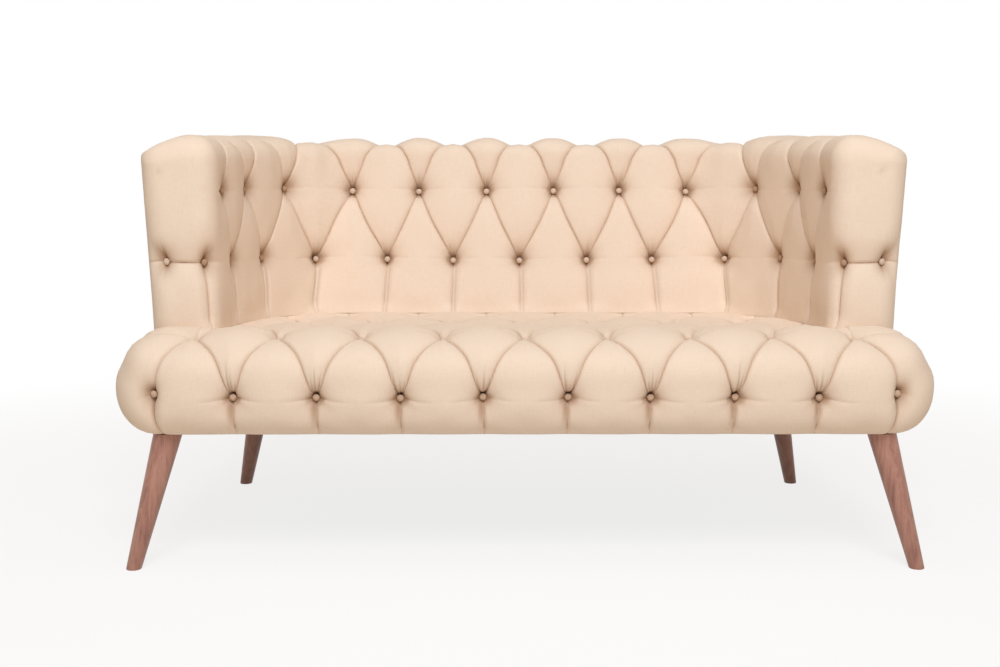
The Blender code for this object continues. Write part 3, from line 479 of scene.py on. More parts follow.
def outer_plan(distance, height):
    """The outer edge of the wall across from a place on its inner side."""
    outer = outer_half(height)
    inner = inner_plan(distance, height)
    if distance <= corner_start:
        return Vector((inner.x, cover_rear))
    if distance >= corner_end:
        return Vector((outer, max(inner.y, arm_front_line)))
    rear_end = inner_plan(corner_end, height).y
    first = outer - outer_corner_radius - corner_start
    middle = math.pi / 2 * outer_corner_radius
    last = cover_rear - outer_corner_radius - rear_end
    share = (distance - corner_start) / (corner_end - corner_start)
    along = (first + middle / 2) * 2 * share
    if share > 1 / 2:
        along = first + middle / 2 + (last + middle / 2) * (2 * share - 1)
    if along <= first:
        return Vector((corner_start + along, cover_rear))
    if along <= first + middle:
        turn = (along - first) / outer_corner_radius
        return Vector((
            outer - outer_corner_radius * (1 - math.sin(turn)),
            cover_rear - outer_corner_radius * (1 - math.cos(turn)),
        ))
    return Vector((outer, cover_rear - outer_corner_radius - (along - first - middle)))


def beyond_sweep(across, along, reach):
    """How far a plan point lies outside the inner sweep's quarter ellipse."""
    turned_out = math.hypot(across / inner_sweep_across, along / reach)
    steepness = math.hypot(across / inner_sweep_across ** 2, along / reach ** 2) / max(turned_out, tiny)
    return (turned_out - 1) / max(steepness, tiny)


def wall_depths(x, y, height):
    """How far a plan point lies inside the wall's inner side, outer side and front face."""
    across = abs(x)
    rear = back_foot_setback + back_lean * (height - foot)
    outer = outer_half(height)
    if across <= corner_start:
        from_inner = y - rear
    elif y > arm_front_line:
        from_inner = beyond_sweep(across - corner_start, y - arm_front_line, rear - arm_front_line)
    else:
        from_inner = across - arm_inner_half
    from_outer = min(outer - across, cover_rear - y)
    if across > outer - outer_corner_radius and y > cover_rear - outer_corner_radius:
        from_outer = outer_corner_radius - math.hypot(
            across - outer + outer_corner_radius, y - cover_rear + outer_corner_radius
        )
    from_face = y - arm_front_setback
    if y < arm_front_line:
        into = arm_front_line - y
        beside = max(arm_inner_half + arm_front_radius - across, across - outer + arm_front_radius, 0)
        from_face = arm_front_radius - math.hypot(into, beside)
    return from_inner, from_outer, from_face


def crest_height(along):
    """The wall's top, which rises a little from the arms' fronts to the back."""
    share = (along - arm_front_setback) / (cover_rear - arm_front_setback)
    return arm_top + back_rise * min(max(share, 0), 1)


def edge_drop(place, height):
    """How far the wall's top lies below its crest near its rounded edges."""
    from_inner, from_outer, from_face = wall_depths(place.x, place.y, height)
    reach = min(outer_edge_reach, max(from_inner, 0) + from_outer - top_edge_radius)
    inside = max(min(from_inner, from_face) / top_edge_radius, tiny)
    beside = max(from_outer / max(reach, top_edge_radius), tiny)
    in_from_edge = (inside ** -edge_blend + beside ** -edge_blend) ** (-1 / edge_blend)
    slack = 1 - min(in_from_edge, 1)
    rounded = top_edge_radius * (1 - math.sqrt(1 - slack ** 2))
    share = min(beside, 1)
    return rounded + outer_slope_drop / slope_peak_share * share * (1 - share) ** 2


def foot_drop(place):
    """How far the seat's roll falls away under a plan point of the wall."""
    share = min(math.hypot(*past_flat(place)) / roll_reach, 1)
    return roll_rise * (1 - math.sqrt(1 - share ** 2))


def lowered(place, height):
    """The height of a wall point, let down near its foot to meet the seat's roll."""
    return height - foot_drop(place) * smooth_step(1 - (height - foot) / foot_drop_reach)


def wall_crown(distance, rise):
    """A point on the crown surface of the wall, from its flat-pattern place."""
    side = 1 if distance >= 0 else -1
    away = min(abs(distance), wall_end)
    climb = min(max(rise, 0), face_rise)
    lift = (crest_height(inner_plan(away, foot + climb).y) - top_edge_radius - foot) / face_rise
    height = foot + climb * lift
    inner = inner_plan(away, height)
    if rise <= face_rise:
        return Vector((side * inner.x, from_front(inner.y), lowered(inner, height)))
    outer = outer_plan(away, height)
    span = (outer - inner).length
    radius = min(top_edge_radius, span / 2)
    level = span - 2 * radius
    quarter = math.pi / 2 * radius
    gone = (rise - face_rise) / over_length * (2 * quarter + level)
    if gone < quarter:
        share = (1 - math.cos(gone / max(radius, tiny))) * radius
    elif gone < quarter + level:
        share = radius + gone - quarter
    else:
        share = span - radius + radius * math.sin((gone - quarter - level) / max(radius, tiny))
    place = inner.lerp(outer, min(share / max(span, tiny), 1))
    return Vector((side * place.x, from_front(place.y), crest_height(place.y) - edge_drop(place, height)))


def wall_normal(distance, rise):
    along = wall_crown(distance + gap, rise) - wall_crown(distance - gap, rise)
    up = wall_crown(distance, rise + gap) - wall_crown(distance, rise - gap)
    normal = along.cross(up)
    if normal.length < tiny ** 2:
        return Vector((0, 0, 1))
    return normal.normalized()


# Relief of the tufted cloth


def wobble(point):
    """Hand work: a slow wander of the pleats over the surface."""
    here = Vector((point.x, point.y, 0)) / wobble_size
    aside = noise.noise(here)
    above = noise.noise(here + Vector((0, 0, 1 / wobble_size)))
    return Vector((aside, above)) * wobble_reach


def pucker(point, button, away):
    """Small ripples round a button."""
    if away > 2 * pucker_reach:
        return 0
    turn = math.atan2(point.y - button.y, point.x - button.x)
    phase = noise.noise(Vector((button.x, button.y, 0)) / ripple_size) * 2 * math.pi
    swell = 1 + noise.noise(Vector((math.cos(turn), math.sin(turn), phase)))
    wave = math.cos(pucker_count * turn + phase)
    fade = smooth_step(away / pucker_start) * math.exp(-((away / pucker_reach) ** 2))
    return pucker_depth * wave * swell * fade


def uneven(place, index):
    """A fixed, uneven share between about -1 and 1 for one button's detail."""
    return noise.noise(Vector((place.x, place.y, index)) / ripple_size) * 2


def fan(place, up, length):
    """Short creases that run out from a button to one side of it: start, end, width, depth and painted shade.
    """
    darts = []
    for index in range(fan_count):
        turn = (index - (fan_count - 1) / 2 + uneven(place, index) * fan_uneven_share) * dart_turn
        way = up.copy()
        way.rotate(Matrix.Rotation(turn, 2))
        reach = length * (1 + uneven(place, index + fan_count) * fan_uneven_share)
        darts.append((place, place + way * reach, dart_width, dart_depth, dart_painted_shade_share))
    return darts


def side_dart(place, way):
    """A long, shallow pull in the cloth from a button towards its neighbour, with a little painted shade
    along it.
    """
    return place, place + way * side_dart_length, side_dart_width, side_dart_depth, side_dart_painted_shade


def dart_sink(point, darts):
    """How far the creases pull the cloth in at a place, and how much painted shade they give it."""
    sink = painted_shade_amount = 0
    for start, stop, width, depth, painted_crease_shade in darts:
        line = stop - start
        share = (point - start).dot(line) / line.length_squared
        if 0 < share < 1:
            off = (point - start - line * share).length / width
            shape = (1 - share ** 2) * math.exp(-((off / (1 - share * (1 - dart_tip_share))) ** 2))
            sink += depth * shape
            painted_shade_amount = max(painted_shade_amount, shape * painted_crease_shade)
    return sink, painted_shade_amount


class Relief:
    """What shapes one cell: its pleats, its buttons with their darts, and soft dips."""

    def __init__(self, steep, soft, buttons, darts, dips):
        self.steep = steep
        self.soft = soft
        self.buttons = buttons
        self.darts = darts
        self.dips = dips

    def at(self, point):
        """How far the cloth lies below its crown at a flat-pattern place, and how much painted shade it gets.
        """
        from_steep = min((nearest(point, line) for line in self.steep), default=pillow_reach)
        from_soft = min((nearest(point, line) for line in self.soft), default=pillow_reach)
        from_pleat = min(from_steep, from_soft)
        sink = pillow_depth * (1 - min(from_pleat / pillow_reach, 1)) ** pillow_sharpness
        steepness = math.exp(-from_steep / steep_fold_reach)
        sink += fold_depth * max(steepness, math.exp(-from_soft / soft_fold_reach))
        # Painted shade down in the pleats.
        painted_shade_amount = fold_painted_shade_share * math.exp(-from_pleat / fold_painted_shade_reach)
        for button, share, painted_halo_share in self.buttons:
            away = (point - button).length
            pit = pit_depth * math.exp(-((away / pit_reach) ** pit_sharpness))
            pit += well_depth * smooth_step(1 - (away - well_radius) / well_wall)
            sink += share * pit + pucker(point, button, away)
            # Painted shade in a ring round the pit, and in a soft patch set a little above the button, where
            # the pit's upper lip shades it.
            ring = pit_painted_shade_share * math.exp(-((away / pit_painted_shade_reach) ** pit_painted_shade_sharpness))
            off = (point - button - Vector((0, halo_painted_shadow_rise))).length / halo_painted_shade_reach
            painted_shade_amount = max(painted_shade_amount, share ** 2 * ring, share ** 2 * painted_halo_share * math.exp(-off ** 2))
        for dip in self.dips:
            sink += dip_depth * math.exp(-(((point - dip).length / dip_reach) ** 2))
        # The darts pull the cloth in and add painted shade along their creases.
        pulled, shaded = dart_sink(point, self.darts)
        sink += pulled
        painted_shade_amount = max(painted_shade_amount, shaded)
        return sink + ripple_depth * noise.noise(Vector((point.x, point.y, 1)) / ripple_size), painted_shade_amount


class Cloth:
    """A sheet of cloth meshed cell by cell, whose cells share the corners between them."""

    def __init__(self, surface, darts_of, tuft_of, free_of):
        self.shape = bmesh.new()
        # A layer of painted shade, which darkens the linen down in its folds, pits and darts
        self.painted_shade = self.shape.verts.layers.float.new("painted_shade")
        self.surface = surface
        self.darts_of = darts_of
        self.tuft_of = tuft_of
        self.free_of = free_of
        self.held = {}
        self.corners = {}
        self.pattern = {}

    def gathered(self, point):
        """Where a corner really lies; a sheet with a gathered end moves its corners there."""
        return point

    def corner(self, point, relief):
        point = self.gathered(point)
        key = (round(point.x / merge_distance), round(point.y / merge_distance))
        if key not in self.corners:
            sink, painted_shade_amount = relief.at(point)
            vert = self.shape.verts.new(self.surface(point, sink))
            # Each point keeps its painted shade for the linen's colour
            vert[self.painted_shade] = painted_shade_amount
            self.held[vert] = 1 - (1 - smooth_step(sink / held_sink)) * self.free_of(point)
            self.corners[key] = vert
            self.pattern[vert] = point.copy()
        return self.corners[key]

    def cell(self, left, right, buttons, counts, plain=(), level=None, dips=(), smooth=None):
        """Mesh the cell between two chains of nodes; a plain side has no pleat."""
        level = level or (lambda node, at: left[node].lerp(right[node], at))
        steep = [] if "left" in plain else pleats(left)
        soft = [] if "right" in plain else pleats(right)
        if "foot" in plain:
            soft = soft + [(left[-1], right[-1])]
        if "head" in plain:
            steep = steep + [(left[0], right[0])]
        if smooth:
            steep = [line for line in steep if not smooth(line)]
            soft = [line for line in soft if not smooth(line)]
        darts = [dart for button in buttons for dart in self.darts_of(button)]
        tufts = [(button, *self.tuft_of(button)) for button in buttons]
        relief = Relief(steep, soft, tufts, darts, dips)
        columns = bunched(across_count)
        grid = []
        for span, count in enumerate(counts):
            for index, share in enumerate(bunched(count)):
                if span and not index:
                    continue
                points = [level(span, at).lerp(level(span + 1, at), share) for at in columns]
                grid.append([self.corner(point, relief) for point in points])
        for lower, upper in zip(grid, grid[1:]):
            for index in range(len(columns) - 1):
                ring = [lower[index], lower[index + 1], upper[index + 1], upper[index]]
                ring = [vert for at, vert in enumerate(ring) if vert is not ring[at - 1]]
                if len(ring) > 2 and not self.shape.faces.get(ring):
                    self.shape.faces.new(ring)

    def uv(self, vert):
        return self.pattern.get(vert, Vector((vert.co.x, vert.co.z)))

    def holds(self):
        """How firmly each point is held, in the mesh's own order; a turned-in edge is held fully."""
        return [self.held.get(vert, 1) for vert in self.shape.verts]


def stand_in_for(mesh):
    """A copy to settle: its faces and edges have a fixed order, so that each run gives the same cloth."""
    rings = [tuple(face.vertices) for face in mesh.polygons]
    starts = [ring.index(min(ring)) for ring in rings]
    rings = sorted(ring[start:] + ring[:start] for ring, start in zip(rings, starts))
    copy = bpy.data.meshes.new("settling")
    copy.from_pydata(points_of(mesh), [], rings)
    stand_in = bpy.data.objects.new("settling", copy)
    bpy.context.collection.objects.link(stand_in)
    return stand_in


def settle(item, holds):
    """Let the padding press the cloth out between its held pleats, as far as a cap."""
    scene = bpy.context.scene
    stand_in = stand_in_for(item.data)
    group = stand_in.vertex_groups.new(name="held")
    for index, hold in enumerate(holds):
        group.add([index], hold, "REPLACE")
    cloth = stand_in.modifiers.new("settle", "CLOTH")
    cloth.settings.quality = settle_quality
    cloth.settings.vertex_group_mass = group.name
    cloth.settings.use_pressure = True
    cloth.settings.uniform_pressure_force = settle_pressure
    cloth.settings.shrink_min = -settle_spare
    cloth.settings.effector_weights.gravity = 0
    cloth.point_cache.frame_start = 1
    cloth.point_cache.frame_end = settle_frames
    for frame in range(1, settle_frames + 1):
        scene.frame_set(frame)
    settled = stand_in.evaluated_get(bpy.context.evaluated_depsgraph_get()).data
    before = points_of(item.data)
    moves = evened(stand_in.data, points_of(settled) - before) * (1 - numpy.array(holds))[:, None]
    lengths = numpy.maximum(numpy.linalg.norm(moves, axis=1), tiny)
    moves *= numpy.minimum(settle_cap / lengths, 1)[:, None]
    item.data.vertices.foreach_set("co", (before + moves).ravel())
    item.data.update()
    bpy.data.objects.remove(stand_in)
    scene.frame_set(1)


def points_of(mesh):
    places = numpy.empty(len(mesh.vertices) * 3)
    mesh.vertices.foreach_get("co", places)
    return places.reshape(-1, 3)


def evened(mesh, moves):
    """Each point's move, evened out with its neighbours', so that no row of the mesh shows."""
    ends = numpy.empty(len(mesh.edges) * 2, dtype=int)
    mesh.edges.foreach_get("vertices", ends)
    first, second = ends.reshape(-1, 2).T
    counts = numpy.bincount(ends, minlength=len(moves))[:, None]
    here, there = numpy.append(first, second), numpy.append(second, first)
    for _ in range(settle_evening):
        around = [numpy.bincount(here, axis[there], len(moves)) for axis in moves.T]
        moves = (moves + numpy.array(around).T / counts) / 2
    return moves


def pleats(chain):
    return [(start, stop) for start, stop in zip(chain, chain[1:]) if (stop - start).length > gap]


# Seat


def clear_of_hem(point):
    """None at the seat's hem and rear edge, and whole a little way in from them."""
    before_hem = rim_end - math.hypot(*past_flat(point))
    return smooth_step(before_hem / hem_reach) * smooth_step((sofa_depth - point.y) / hem_reach)


def seat_shift(point):
    """The pleats between two rows bow towards the row in front, and wander a little."""
    levels = [roll_reach - front_row_away] + seat_setbacks()
    row = bisect.bisect_right(levels, point.y) - 1
    bow = 0
    edge = max(front_places()) - tuft_spacing / 2
    if 0 <= row < len(levels) - 1 and abs(point.x) < edge:
        share = (point.y - levels[row]) / (levels[row + 1] - levels[row])
        start = tuft_spacing / 2 if row % 2 == 0 else 0
        bow = -seat_bow * math.sin(2 * math.pi * (point.x - start) / tuft_spacing) * math.sin(math.pi * share)
        bow *= smooth_step((edge - abs(point.x)) / hem_reach)
    side = 1 if point.x > 0 else -1
    off = (point - rim_place(side * max(front_places()), front_row_away)).length / corner_draw_reach
    drawn = Vector((-side, 1)) * corner_draw * math.exp(-off ** 2)
    return (wobble(point) + drawn + Vector((bow, 0))) * clear_of_hem(point)


def seat_raise(point):
    """How far the pillows of the seat's top swell above its crown."""
    away = math.hypot(*past_flat(point))
    share = min(max((point.y - roll_reach) / (rear_puff_from - roll_reach), 0), 1)
    puff = (seat_puff + (rear_puff - seat_puff) * share) * smooth_step((upper_roll - away) / puff_reach)
    puff *= smooth_step((sofa_depth - point.y) / hem_reach)
    return puff * smooth_step((sofa_width / 2 - abs(point.x)) / puff_side_reach)


def clear_of_wall(moved):
    """Whether a place of the seat's cloth lies outside the arms and the back that stand on it."""
    on_crown, _ = seat_point(moved, 0)
    if on_crown.z < widest_height:
        return 1
    inside = min(wall_depths(on_crown.x, on_crown.y + sofa_depth / 2, foot))
    return 1 - smooth_step(inside / mask_reach + 1)


def seat_surface(point, sink):
    """Seat cloth: tufted, and flat where the arms and the back stand on it."""
    moved = point + seat_shift(point)
    sink = (sink * clear_of_hem(point) - seat_raise(point)) * clear_of_wall(moved)
    return seat_point(moved, sink)[0]


def seat_free(point):
    """How free the seat's cloth is at a place: not at all at its edges and under the wall."""
    return clear_of_hem(point) * clear_of_wall(point + seat_shift(point))


def on_front_row(button):
    return abs(math.hypot(*past_flat(button)) - front_row_away) < gap


def seat_darts(button):
    """Creases above each button of the front row, and crow's feet at the others."""
    if not on_front_row(button):
        return [side_dart(button, Vector((way, 0))) for way in (-1, 1)]
    side = 1 if button.x > 0 else -1
    beside, before = past_flat(button)
    up = Vector((-side * beside, before)).normalized()
    across = Vector((up.y, -up.x))
    darts = [side_dart(button, way) for way in (across, -across)]
    if abs(button.x) < flat_half or button.y > roll_reach:
        darts += fan(button, up, fan_length)
    # Below the button, a crease whose painted shade widens to a funnel at the button.
    low = button - across * low_fold_aside
    return [*darts, (low, low - up * low_fold_length, low_fold_width, low_fold_depth, low_fold_painted_shade)]


def seat_tuft(button):
    """How deep a tuft is, as a share of the deepest, and how much painted shade lies round it."""
    if on_front_row(button):
        return 1, (halo_painted_shade_share if abs(button.x) < flat_half else arm_halo_painted_shade_share)
    return (top_tuft_share if button.y < tuft_spacing else rear_tuft_share), halo_painted_shade_share


def seat_setbacks():
    return [second_row_setback + row_spacing * index for index in range(seat_row_count)]


def front_places():
    """Where the front row's tufts lie across the seat."""
    half_count = seat_front_count // 2
    return [(index + 1 / 2) * tuft_spacing for index in range(-half_count, half_count)]


def side_places():
    """Where the tufts beside the seat lie round its rim, past the front row."""
    first = max(front_places()) + tuft_spacing
    spacing = (rim_length - last_side_clear - first) / seat_row_count
    return [first + spacing * index for index in range(seat_row_count + 1)]


def rim_level(first, second, apex):
    """The level lines of a pillow on the roll, which follow the rim round its corners."""

    def level(node, at):
        if node == 2:
            return apex.copy()
        return rim_place(first + (second - first) * at, rim_end if node == 0 else front_row_away)

    return level


def seat_front_cells(cloth):
    """The pillows along the rolled front, each under one tuft of the second row."""
    front = front_places()
    for first, second in zip(front, front[1:]):
        apex = Vector(((first + second) / 2, second_row_setback))
        left, right = [
            [rim_place(place, rim_end), rim_place(place, front_row_away), apex] for place in (first, second)
        ]
        cloth.cell(
            left, right, [left[1], right[1], apex], (along_count, along_count),
            level=rim_level(first, second, apex),
        )


def seat_top_cells(cloth):
    """The diamonds on the top, row by row, out to a straight line under the arms."""
    edge = max(front_places()) - tuft_spacing / 2
    levels = [roll_reach - front_row_away] + seat_setbacks()
    for row in range(len(levels) - 1):
        count = seat_front_count - 1 if row % 2 == 1 else seat_front_count - 2
        for index in range(count):
            middle = (index - (count - 1) / 2) * tuft_spacing
            low = Vector((middle, levels[row]))
            left = [low, Vector((middle - tuft_spacing / 2, levels[row + 1]))]
            right = [low, Vector((middle + tuft_spacing / 2, levels[row + 1]))]
            buttons = [low, left[1], right[1]]
            if row + 2 < len(levels):
                top = Vector((middle, levels[row + 2]))
                buttons.append(top)
                ends = (top, top)
            else:
                ends = [Vector((chain[1].x, sofa_depth)) for chain in (left, right)]
            left.append(ends[0])
            right.append(ends[1])
            counts = (along_count, along_count)
            if abs(middle) < edge - gap:
                cloth.cell(left, right, buttons, counts)
                continue
            straight = [Vector((middle, node.y)) for node in left]
            if middle > 0:
                cloth.cell(left, straight, [low, left[1]], counts, plain=("right",))
            else:
                cloth.cell(straight, right, [low, right[1]], counts, plain=("left",))


def seat_side_bands(cloth):
    """The two corner pillows, and the bands from under the arms over the sides."""
    front_end = max(front_places())
    edge = front_end - tuft_spacing / 2
    setbacks = seat_setbacks()
    inner_stops = setbacks + [sofa_depth, sofa_depth]
    rim_stops = side_places() + [rim_length]
    counts = (along_count, along_count)
    for side in (-1, 1):
        chains = [
            [
                rim_place(side * rim_stop, rim_end),
                rim_place(side * rim_stop, front_row_away),
                Vector((side * edge, inner_stop)),
            ]
            for inner_stop, rim_stop in zip(inner_stops, rim_stops)
        ]
        corner = [rim_place(side * front_end, rim_end), rim_place(side * front_end, front_row_away)]
        corner.append(chains[0][2])
        buttons = [corner[1], corner[2], chains[0][1]]
        pair = (corner, chains[0]) if side > 0 else (chains[0], corner)
        stops = sorted((side * front_end, side * rim_stops[0]))
        cloth.cell(*pair, buttons, counts, level=rim_level(*stops, corner[2]))
        for index, (first, second) in enumerate(zip(chains, chains[1:])):
            last = index + 2 == len(chains)
            buttons = [first[1]] if last else [first[1], second[1]]
            if not index:
                buttons.append(first[2])
            pair = (first, second) if side > 0 else (second, first)
            plain = ("right" if side > 0 else "left",) if last else ()
            cloth.cell(*pair, buttons, counts, plain=plain)


def sewn(name, cloth, turn_in, linen):
    """The piece that a sheet makes once its edges are turned in and it has settled, and its tree before."""
    tree = BVHTree.FromBMesh(cloth.shape)
    turn_in(cloth)
    holds = cloth.holds()
    piece = add_piece(name, cloth.shape, linen, cloth.uv)
    settle(piece, holds)
    return piece, tree


def add_seat(linen):
    cloth = Cloth(seat_surface, seat_darts, seat_tuft, seat_free)
    seat_front_cells(cloth)
    seat_top_cells(cloth)
    seat_side_bands(cloth)
    seat, tree = sewn("seat_upholstery", cloth, fold_hem_under, linen)
    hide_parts("seat_cover")
    return tree


def turned_in(cloth, rim):
    """New points that carry on the sheet past some of its edges."""
    made = bmesh.ops.extrude_edge_only(cloth.shape, edges=rim)["geom"]
    return [vert for vert in made if isinstance(vert, bmesh.types.BMVert)]


def fold_hem_under(cloth):
    """The cloth's edge, turned in under the seat's rails."""
    rim = [
        edge for edge in cloth.shape.edges
        if edge.is_boundary and all(abs(vert.co.z - seat_bottom) < gap for vert in edge.verts)
    ]
    for vert in turned_in(cloth, rim):
        away = Vector((max(abs(vert.co.x) - flat_half, 0), min(vert.co.y - from_front(roll_reach), 0)))
        if away.length > tiny:
            inward = away.normalized() * hem_width
            vert.co.x -= math.copysign(inward.x, vert.co.x)
            vert.co.y -= inward.y
        vert.co.z -= gap


# Wall: back and arms


class WallCloth(Cloth):
    """The wall's cloth, which is gathered at the top corner of each arm's outer front."""

    def holds(self):
        """As any sheet's, but the arms' smooth fronts are held too."""
        fronts = [smooth_step((abs(self.uv(vert).x) - arm_end) / hem_reach + 1) for vert in self.shape.verts]
        return [max(hold, front) for hold, front in zip(super().holds(), fronts)]

    def gathered(self, point):
        side = 1 if point.x >= 0 else -1
        on_edge = point.y > edge_rise - gap and abs(point.x) > arm_end
        at_corner = abs(point.x) > wall_end - gap and point.y > face_rise
        if on_edge or at_corner:
            return Vector((side * arm_end, edge_rise))
        return point


def clear_of_ends(rise):
    """None at the wall's foot and rear edge, and whole a little way in from them."""
    return smooth_step(rise / hem_reach) * smooth_step((edge_rise - rise) / hem_reach)


def wall_shift(point):
    """The pleats bow towards the upper row, the arms' lower row lies higher, and all wander a little."""
    away = abs(point.x)
    side = 1 if point.x > 0 else -1
    rise = min(max(point.y / upper_tuft_rise, 0), 1)
    lift = arm_row_lift * smooth_step((away - corner_place) / arm_spacing * 2)
    lift += front_row_lift * smooth_step((away - lower_row_places[-2]) / arm_spacing)
    lift *= math.sin(math.pi * rise)
    between = (point.y - lower_tuft_rise) / (upper_tuft_rise - lower_tuft_rise)
    aside = 0
    if 0 < between < 1 and away < corner_start:
        aside = wall_bow * math.sin(2 * math.pi * point.x / back_spacing) * math.sin(math.pi * between)
        aside *= smooth_step((corner_start - away) / hem_reach)
    last_place = lower_row_places[back_half_count]
    drawn = row_draw * smooth_step((corner_place - away) / (corner_place - last_place))
    drawn *= min(away / last_place, 1) ** 2
    aside -= side * drawn * math.exp(-(((point.y - lower_tuft_rise) / row_draw_reach) ** 2))
    first_tuft = Vector((upper_row_places[-1], upper_tuft_rise))
    off = (Vector((away, point.y)) - first_tuft).length / row_draw_reach
    aside -= side * front_tuft_back * math.exp(-off ** 2)
    wander = wobble(point) * smooth_step((wall_end - away) / hem_reach)
    return (wander + Vector((aside, lift))) * clear_of_ends(point.y)


def wall_free(point):
    """How free the wall's cloth is at a place: not at all at its edges."""
    return clear_of_ends(point.y) * smooth_step((wall_end - abs(point.x)) / hem_reach)


def wall_surface(point, sink):
    """Wall cloth: tufted, with a level foot that stands on the seat."""
    sink *= wall_free(point)
    away = abs(point.x)
    on_arm = smooth_step((away - corner_place) / arm_relief_fade + 1)
    on_arm *= smooth_step((arm_end - away) / arm_relief_fade)
    sink *= 1 - (1 - arm_relief_share) * on_arm
    if away > arm_end - front_turn:
        sink = deepest_turn * math.tanh(sink / deepest_turn)
    moved = point + wall_shift(point)
    place = wall_crown(moved.x, moved.y) - wall_normal(moved.x, moved.y) * sink
    low = lowered(Vector((place.x, place.y + sofa_depth / 2)), foot)
    place.z = low if point.y < gap else max(place.z, low)
    return place


def wall_darts(button):
    """Creases beside and above each button, and a doubled crease below the back's lower row, each with
    painted shade along it.
    """
    darts = [side_dart(button, Vector((way, 0))) for way in (-1, 1)]
    darts += fan(button, Vector((0, 1)), fan_length / 2)
    if abs(button.y - lower_tuft_rise) > gap:
        return darts
    if abs(button.x) < arm_end:
        down = button + Vector((double_fold_away, -well_radius))
        darts.append((down, Vector((down.x, -button.y)), dart_width, dart_depth, fold_painted_shade_share))
    elif abs(button.x) > face_button_place - gap:
        # A short dimple above the arm's front button, with painted shade in it.
        dimple = button + Vector((math.copysign(dimple_inward, -button.x), dimple_rise))
        half = Vector((dimple_half, 0))
        darts.append((dimple - half, dimple + half, dimple_width, dimple_depth, dimple_painted_shade))
    return darts


# How deep a tuft is, and how much painted shade lies round it: more on the arms.
def wall_tuft(button):
    return 1, (halo_painted_shade_share if abs(button.x) < corner_place - gap else arm_halo_painted_shade_share)


def smooth_front(line):
    """The arm's front has no pleat above its last lower tuft."""
    on_front = all(abs(end.x) > upper_row_places[-1] - gap for end in line)
    return on_front and max(end.y for end in line) > lower_tuft_rise + gap


def mirrored(places):
    return [-place for place in reversed(places) if place > gap] + list(places)


def wall_cells(cloth):
    """The wall's pillows from one arm's inner front edge round to the other's."""
    lower = mirrored(lower_row_places)
    upper = mirrored(upper_row_places)
    for place, left_place, right_place in zip(upper, lower, lower[1:]):
        apex = Vector((place, upper_tuft_rise))
        left = [Vector((left_place, 0)), Vector((left_place, lower_tuft_rise)), apex]
        right = [Vector((right_place, 0)), Vector((right_place, lower_tuft_rise)), apex]
        cloth.cell(left, right, [left[1], right[1], apex], (along_count, along_count), smooth=smooth_front)
        left = [apex, Vector((left_place, crest_rise)), Vector((left_place, edge_rise))]
        right = [apex, Vector((right_place, crest_rise)), Vector((right_place, edge_rise))]
        dips = [Vector((end, dip_rise)) for end in (left_place, right_place) if abs(end) < corner_place]
        cloth.cell(left, right, [apex], (along_count, crest_count), dips=dips, smooth=smooth_front)
    for place, left_place, right_place in zip(lower[1:], upper, upper[1:]):
        low = Vector((place, lower_tuft_rise))
        top = Vector((place, crest_rise))
        left = [low, Vector((left_place, upper_tuft_rise)), top]
        right = [low, Vector((right_place, upper_tuft_rise)), top]
        dips = [Vector((place, dip_rise))] if abs(place) < corner_place else []
        cloth.cell(left, right, [low, left[1], right[1]], (along_count, along_count), dips=dips)


def face_cells(cloth, side):
    """The arm's front face, with its own button on a pleat across it."""
    low = Vector((side * lower_row_places[-1], lower_tuft_rise))
    upper = Vector((side * upper_row_places[-1], upper_tuft_rise))
    button = Vector((side * face_button_place, lower_tuft_rise))
    rises = [0, lower_tuft_rise, upper_tuft_rise, crest_rise, edge_rise]
    inner_chain = [Vector((low.x, 0)), low, upper, *(Vector((low.x, rise)) for rise in rises[-2:])]
    middle_chain = [Vector((button.x, rise)) for rise in rises]
    end_chain = [Vector((side * wall_end, rise)) for rise in rises]
    inner_plain = "right" if side > 0 else "left"
    counts = (along_count, along_count, crest_count)
    for first, second, plain, below, above in (
        (inner_chain, middle_chain, (inner_plain,), (low, button), (low, button, upper)),
        (middle_chain, end_chain, ("left", "right"), (button,), (button,)),
    ):
        left, right = (first, second) if side > 0 else (second, first)
        cloth.cell(left[:2], right[:2], below, (along_count,), plain=(*plain, "foot"))
        cloth.cell(left[1:], right[1:], above, counts, plain=(*plain, "head"), smooth=smooth_front)


def add_wall(linen):
    cloth = WallCloth(wall_surface, wall_darts, wall_tuft, wall_free)
    wall_cells(cloth)
    for side in (-1, 1):
        face_cells(cloth, side)
    wall, tree = sewn("wall_upholstery", cloth, tuck_edges, linen)
    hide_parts("back_cover", "arm_cover_left", "arm_cover_right")
    return tree


def tuck_edges(cloth):
    """The cloth's edges go on behind the outer panels, and in under the wall's foot."""
    for test, shift in (
        (lambda point: point.y > edge_rise - gap, Vector((0, 0, -tuck_depth))),
        (lambda point: abs(point.x) > wall_end - gap, Vector((0, tuck_depth, 0))),
        (lambda point: point.y < gap, None),
    ):
        chosen = {vert for vert, point in cloth.pattern.items() if test(point)}
        rim = [
            edge for edge in cloth.shape.edges
            if edge.is_boundary and all(vert in chosen for vert in edge.verts)
        ]
        for vert in turned_in(cloth, rim):
            vert.co += shift if shift else inward_at(cloth, vert, chosen)


def inward_at(cloth, vert, chosen):
    """The level way in from the wall's foot, at the point that a turned-in one comes from."""
    near = min(
        (edge.other_vert(vert) for edge in vert.link_edges if edge.other_vert(vert) in chosen),
        key=lambda other: (other.co - vert.co).length,
    )
    point = cloth.pattern[near]
    normal = wall_normal(point.x, max(point.y, gap))
    normal.z = 0
    return -normal.normalized() * tuck_depth


# Outer panels


